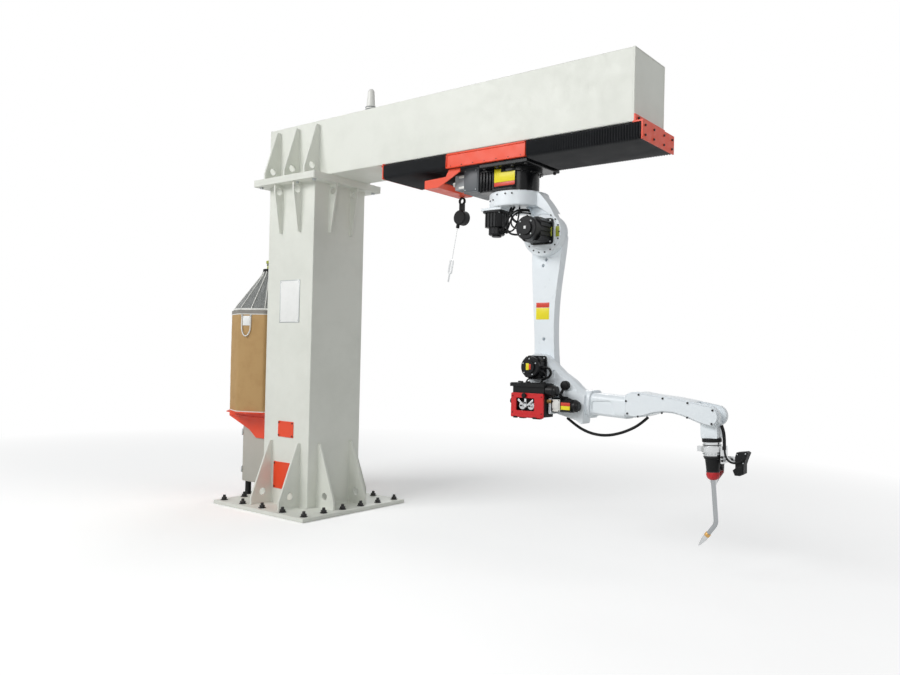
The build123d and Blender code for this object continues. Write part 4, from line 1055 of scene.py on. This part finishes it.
# %% Their bare labels, round plugs and a bundle of leads
keep_slabs("bell_label", WHITE_BOARD, "swivel", [((1893, -239.5, 1733), (1906, -238, 1748), 0.4)])
keep_slabs("shoulder_labels", YELLOW_GREEN, "swivel", [
    ((1984, -63.4, 1708), (2006, -62, 1764), 0.4),
    ((1946, -80, 1710), (1968, -74, 1760), 0.6)])
shape = bmesh.new()
plug = [(0, 0), (13, 0), (14, 1.5), (14, 6), (13, 7.5), (13, 12), (14, 13), (14, 19), (11, 22), (0, 22)]
for place, way in (((1846, -158, 1768), (-1, -0.1, 0.3)), ((1846, -158, 1716), (-1, -0.1, 0.1)),
                   ((1652, -108, 1764), (1, -0.35, -0.3)), ((1652, -72, 1764), (1, 0.2, -0.3)),
                   ((1846, -196, 1742), (-1, 0, 0.1))):
    add_turned(shape, plug, place, way, 28)
keep("motor_plugs", shape, PLASTIC_BLACK, "swivel")
for name, radius, points in (
        ("lead_a", 5.5, [(1672, -112, 1758), (1700, -152, 1762), (1732, -166, 1800), (1768, -158, 1846),
                         (1796, -116, 1866), (1812, -70, 1866)]),
        ("lead_b", 6.5, [(1826, -160, 1775), (1790, -166, 1786), (1752, -158, 1826), (1738, -124, 1862),
                         (1738, -100, 1886)]),
        ("lead_c", 5.5, [(1826, -160, 1718), (1778, -168, 1716), (1736, -164, 1742), (1716, -150, 1800),
                         (1716, -120, 1856), (1718, -100, 1886)]),
        ("lead_d", 4.5, [(1826, -196, 1744), (1792, -192, 1752), (1764, -176, 1790), (1770, -150, 1838),
                         (1800, -96, 1850), (1822, -63, 1846)]),
        ("lead_e", 4.5, [(1672, -70, 1758), (1706, -72, 1752), (1746, -86, 1790), (1762, -92, 1840),
                         (1766, -92, 1886)])):
    cable(name, points, radius, RUBBER, "swivel")
cable("swivel_lead", [(1688, -120, 1752.5), (1706, -126, 1753), (1720, -128, 1772), (1728, -126, 1804),
                      (1742, -118, 1836), (1768, -104, 1856), (1796, -86, 1862), (1814, -63, 1862)],
      4.5, RUBBER, "swivel", ("swivel_cables",))

# %% A bare two-colour plate on the upper link's front and the screws at its rear
keep_slabs("link_label", YELLOW_PLATE, "lower_arm", [((1838, -13.0, 1264), (1922, -11.5, 1328), 0.4)])
keep_slabs("link_label_band", RED_PLATE, "lower_arm", [((1838, -13.0, 1330), (1922, -11.5, 1357), 0.4)])
SIXTHS = [k * math.pi / 3 for k in range(6)]
screws = on_circle((SHOULDER_X, 50, SHOULDER_Z), 70, SIXTHS, REAR, 5)
screws += on_circle((SHOULDER_X, 50, ELBOW_Z), 47, SIXTHS, REAR, 4.5)
fasten("link_rear_screws", "cap_screw", screws, BLACK_SCREW, "lower_arm")

# %% Elbow motor, roll motor, their plates and leads
screws = at_corners(SHOULDER_X, -96, ELBOW_Z, 50, 50, 4.5)
screws += on_circle((SHOULDER_X, -163, ELBOW_Z), 44, (0.5, 1.6, 2.7, 3.9, 5.2), FRONT, 4)
screws += [(2042, -126 + y, 806 + z, OUT, 3.6) for y in (-30, 30) for z in (-30, 30)]
fasten("elbow_screws", "cap_screw", screws, ZINC, "elbow")
keep_slabs("elbow_labels", YELLOW_PLATE, "elbow", [
    ((1884, -173.6, 986), (1902, -172, 1022), 0.4),
    ((2098, -161.2, 786), (2152, -159.2, 806), 0.4)])
keep_slabs("elbow_label_bands", RED_PLATE, "elbow", [
    ((1902.5, -173.6, 990), (1914, -172, 1018), 0.4),
    ((2098, -161.2, 807), (2152, -159.2, 824), 0.4)])
keep_slabs("roll_motor_cover", PALE_PLASTIC, "elbow", [
    ((2044, -165, 774), (2094, -158.5, 838), 2.0),
    ((2050, -168, 790), (2088, -165, 822), 1.2)])
fasten("roll_cover_screws", "cap_screw", at_corners(2069, -165, 806, 20, 27, 3), BLACK_SCREW, "elbow")
shape = bmesh.new()
cap = [(0, 0), (27, 0), (28, 1.5), (28, 8), (25, 11), (25, 24), (23, 27), (0, 27)]
add_turned(shape, cap, (2160, -126, 806), OUT, 36)
add_turned(shape, [(0, 0), (20, 0), (20, 3), (14, 5), (0, 5)], (2080, -100, 910), FRONT, 32)
keep("roll_motor_end", shape, PLASTIC_BLACK, "elbow")
cable("elbow_lead", [(1983.4, -128, 1003), (2004, -126, 996), (2012, -122, 974), (1998, -118, 952),
                     (1972, -116, 942), (1952, -118, 934), (1948, -120, 917)], 6.5, RUBBER, "elbow")
cable("elbow_lead_thin", [(1962, -140, 985), (1992, -146, 975), (1994, -142, 950), (1962, -138, 940),
                          (1912, -140, 944), (1878, -148, 938), (1872, -150, 917)], 4, RUBBER, "elbow")
cable("cap_lead", [(2077, -108, 890), (2066, -112, 870), (2068, -122, 852), (2090, -132, 842),
                   (2128, -134, 846), (2150, -132, 836)], 5, RUBBER, "elbow")

# %% [markdown]
# ## The wire feeder
# Two rolls push the wire, and levers press on them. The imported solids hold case, door and
# rolls. Knobs, levers and screws are small turned and flat forms laid on top.

# %% The wire feeder: lid knobs, pressure arms over the rolls, door knob and fitting
ROLL_X, FEED_X = (1882, 1936), 1909
shape = bmesh.new()
for x, y in ((1832, -150), (1858, -172), (1890, -156), (1990, -160)):
    add_turned(shape, [(0, 0), (9, 0), (10, 1), (10, 7), (8, 10), (0, 10)], (x, y, 916), UP, 24)
add_slab(shape, (1812, -205, 916), (2016, -116, 918.5), 1.0)
knob = [(0, 0), (10, 0), (10, 3), (13, 5), (13, 12), (11, 14), (0, 14)]
add_turned(shape, knob, (1906, -212, 852), FRONT, 28)
add_slab(shape, (1840, -219, 731), (1862, -206, 741), 1.5)
add_slab(shape, (1962, -219, 731), (1984, -206, 741), 1.5)
keep("feeder_knobs", shape, PLASTIC_BLACK, "elbow")
shape = bmesh.new()
for side in (-1, 1):
    reach = [(4, 800), (12, 797), (50, 824), (46, 834)]
    add_prism(shape, "XZ", [(FEED_X + side * x, z) for x, z in reach], -209, -205, 1.0)
add_prism(shape, "XZ", [(1901, 790), (1917, 790), (1915, 836), (1903, 836)], -210, -206, 1.2)
for x in ROLL_X:
    add_turned(shape, [(0, 0), (8, 0), (9, 1), (9, 4), (0, 4)], (x, -204, 797), FRONT, 24)
keep("pressure_arms", shape, STEEL, "elbow")
screws = [(x, -208, 797, FRONT, 5) for x in ROLL_X] + [(FEED_X, -210, 813, FRONT, 5)]
fasten("roll_screws", "cap_screw", screws, BLACK_SCREW, "elbow")
shape = bmesh.new()
fitting = [(0, 0), (11, 0), (11, 9), (7, 11), (7, 18), (9, 19), (9, 25), (0, 25)]
add_turned(shape, fitting, (2020, -170, 826), OUT, 6)
keep("gas_fitting", shape, BRASS, "elbow")
screws = at_corners(1921.5, -212, 804, 90.5, 44, 3.2)
fasten("feeder_case_screws", "cap_screw", screws, BLACK_SCREW, "elbow")

# %% [markdown]
# ## Forearm, wrist and torch
# Black screws follow the edge of each side cover. The hose from the feeder bends as the
# forearm rolls.

# %% Cover screws and the hose
edge = [(2424, 846), (2493, 881), (2620, 869), (2747, 854), (2870, 826), (2867, 762), (2747, 784),
        (2618, 798), (2491, 772), (2433, 784)]
screws = [(x, side * 70, z, (0, side, 0), 5) for x, z in edge for side in (-1, 1)]
fasten("cover_edge_screws", "cap_screw", screws, BLACK_SCREW, "forearm")
cable("wire_hose", [(2072, -44, 735), (2128, -50, 700), (2188, -52, 674), (2248, -46, 660),
                    (2308, -34, 660), (2366, -20, 674), (2422, -8, 698), (2474, 0, 730), (2513, 0, 766)],
      7.5, RUBBER, ("elbow", "forearm", (2.10, -0.044, 0.72), (2.49, 0, 0.74)), ("feeder_hose",))

# %% [markdown]
# ## The torch
# At rest the torch leans a little forward. One function leans every point with it, so that
# rings, screws and nozzle can be drawn straight below the wrist.

# %% The wrist hangs from its joint and leans a little forward
WRIST_X, WRIST_Z = 2838, 790
LEAN_COS, LEAN_SIN = 0.99844, 0.05582
HUNG_DOWN = (LEAN_SIN, 0, -LEAN_COS)


def hung(x, y, z):
    """A point drawn below the wrist's centre, leaned with the torch."""
    return (WRIST_X + LEAN_COS * x - LEAN_SIN * z, y, WRIST_Z + LEAN_SIN * x + LEAN_COS * z)


shape = bmesh.new()
for distance, radius in ((131, 43), (186, 42), (258, 31.5)):
    band = [(radius - 4, 0), (radius, 0), (radius + 0.8, 0.8), (radius + 0.8, 3.4), (radius, 4.2),
            (radius - 4, 4.2), (radius - 4, 0)]
    add_turned(shape, band, hung(0, 0, -distance), HUNG_DOWN, 56)
keep("mount_rings", shape, BLACK_OXIDE, "torch")
screws = []
for k in range(8):
    t = math.radians(-160 + 22 * k)
    spot = hung(42 * math.cos(t), 42 * math.sin(t), -174)
    screws.append((*spot, (math.cos(t), math.sin(t), 0), 3.2))
fasten("mount_screws", "cap_screw", screws, ZINC, "torch")
screws = [(2901, -20, 604, FRONT, 5), (2903, -20, 588, FRONT, 5), (2920, -5, 596, FRONT, 4.5),
          (2944, -5, 598, FRONT, 4.5)]
fasten("bracket_screws", "bolt", screws, BLACK_SCREW, "torch")
shape = bmesh.new()
for k in range(10):
    t = 2 * math.pi * k / 10
    spot = hung(30.6 * math.cos(t), 30.6 * math.sin(t), -272)
    add_turned(shape, [(0, 0), (4.2, 0), (4.2, 1.6), (0, 2.2)], spot, (math.cos(t), math.sin(t), 0), 14)
keep("collar_knurls", shape, RED_PLASTIC, "torch")
nodes["swan_neck"].data.materials[0] = NECK_STEEL

# %% Nozzle: a silver tip behind a brass ring
tip, bend = Vector(hung(-32, 0, -556)), Vector(hung(7, 0, -508))
forward = (tip - bend).normalized()
shape = bmesh.new()
add_turned(shape, [(0, 0), (13.5, 0), (13.9, 1), (13.9, 16), (13.2, 17), (0, 17)], tip, forward, 40)
keep("nozzle_ring", shape, BRASS, "torch")
shape = bmesh.new()
cone = [(0, 16), (12.6, 16), (12.8, 18), (12.8, 32), (11.6, 36), (11.4, 42), (7.2, 64), (6.8, 70),
        (4, 71), (3.3, 80), (0, 80)]
add_turned(shape, cone, tip, forward, 40)
keep("nozzle_tip", shape, STEEL, "torch", ("gas_nozzle",))

# %% [markdown]
# ## The seam sensor
# A small housing beside the torch looks at the seam. Its lead winds as the torch turns.

# %% The seam sensor: window, screws and a lead that is thicker beside the wrist
shape = bmesh.new()
window = [hung(x, 0, z)[::2] for x, z in ((118, -266), (150, -258), (149, -226), (119, -232))]
add_prism(shape, "XZ", window, -26, -23.5, 0.8)
keep("sensor_window", shape, GLOSS_BLACK, "torch")
screws = [(*hung(x, side * 24, z), (0, side, 0), 3)
          for x, z in ((128, -172), (166, -168), (124, -212), (154, -212)) for side in (-1, 1)]
fasten("sensor_screws", "cap_screw", screws, ZINC, "torch")
lead = [(49, 0, -40), (57, -1, -62), (61, -3, -90), (62, -6, -122), (64, -14, -154), (72, -26, -184),
        (90, -34, -206), (116, -36, -214), (142, -36, -206), (158, -34, -192), (165, -27, -181)]
winding = ("wrist", "torch", Vector(hung(50, 0, -46)) * MM, Vector(hung(60, 0, -140)) * MM)
cable("sensor_lead", [hung(*point) for point in lead], 5, RUBBER, winding, ("sensor_cable",))
cable("lead_sleeve", [hung(*point) for point in lead[:5]], 8, RUBBER, winding)
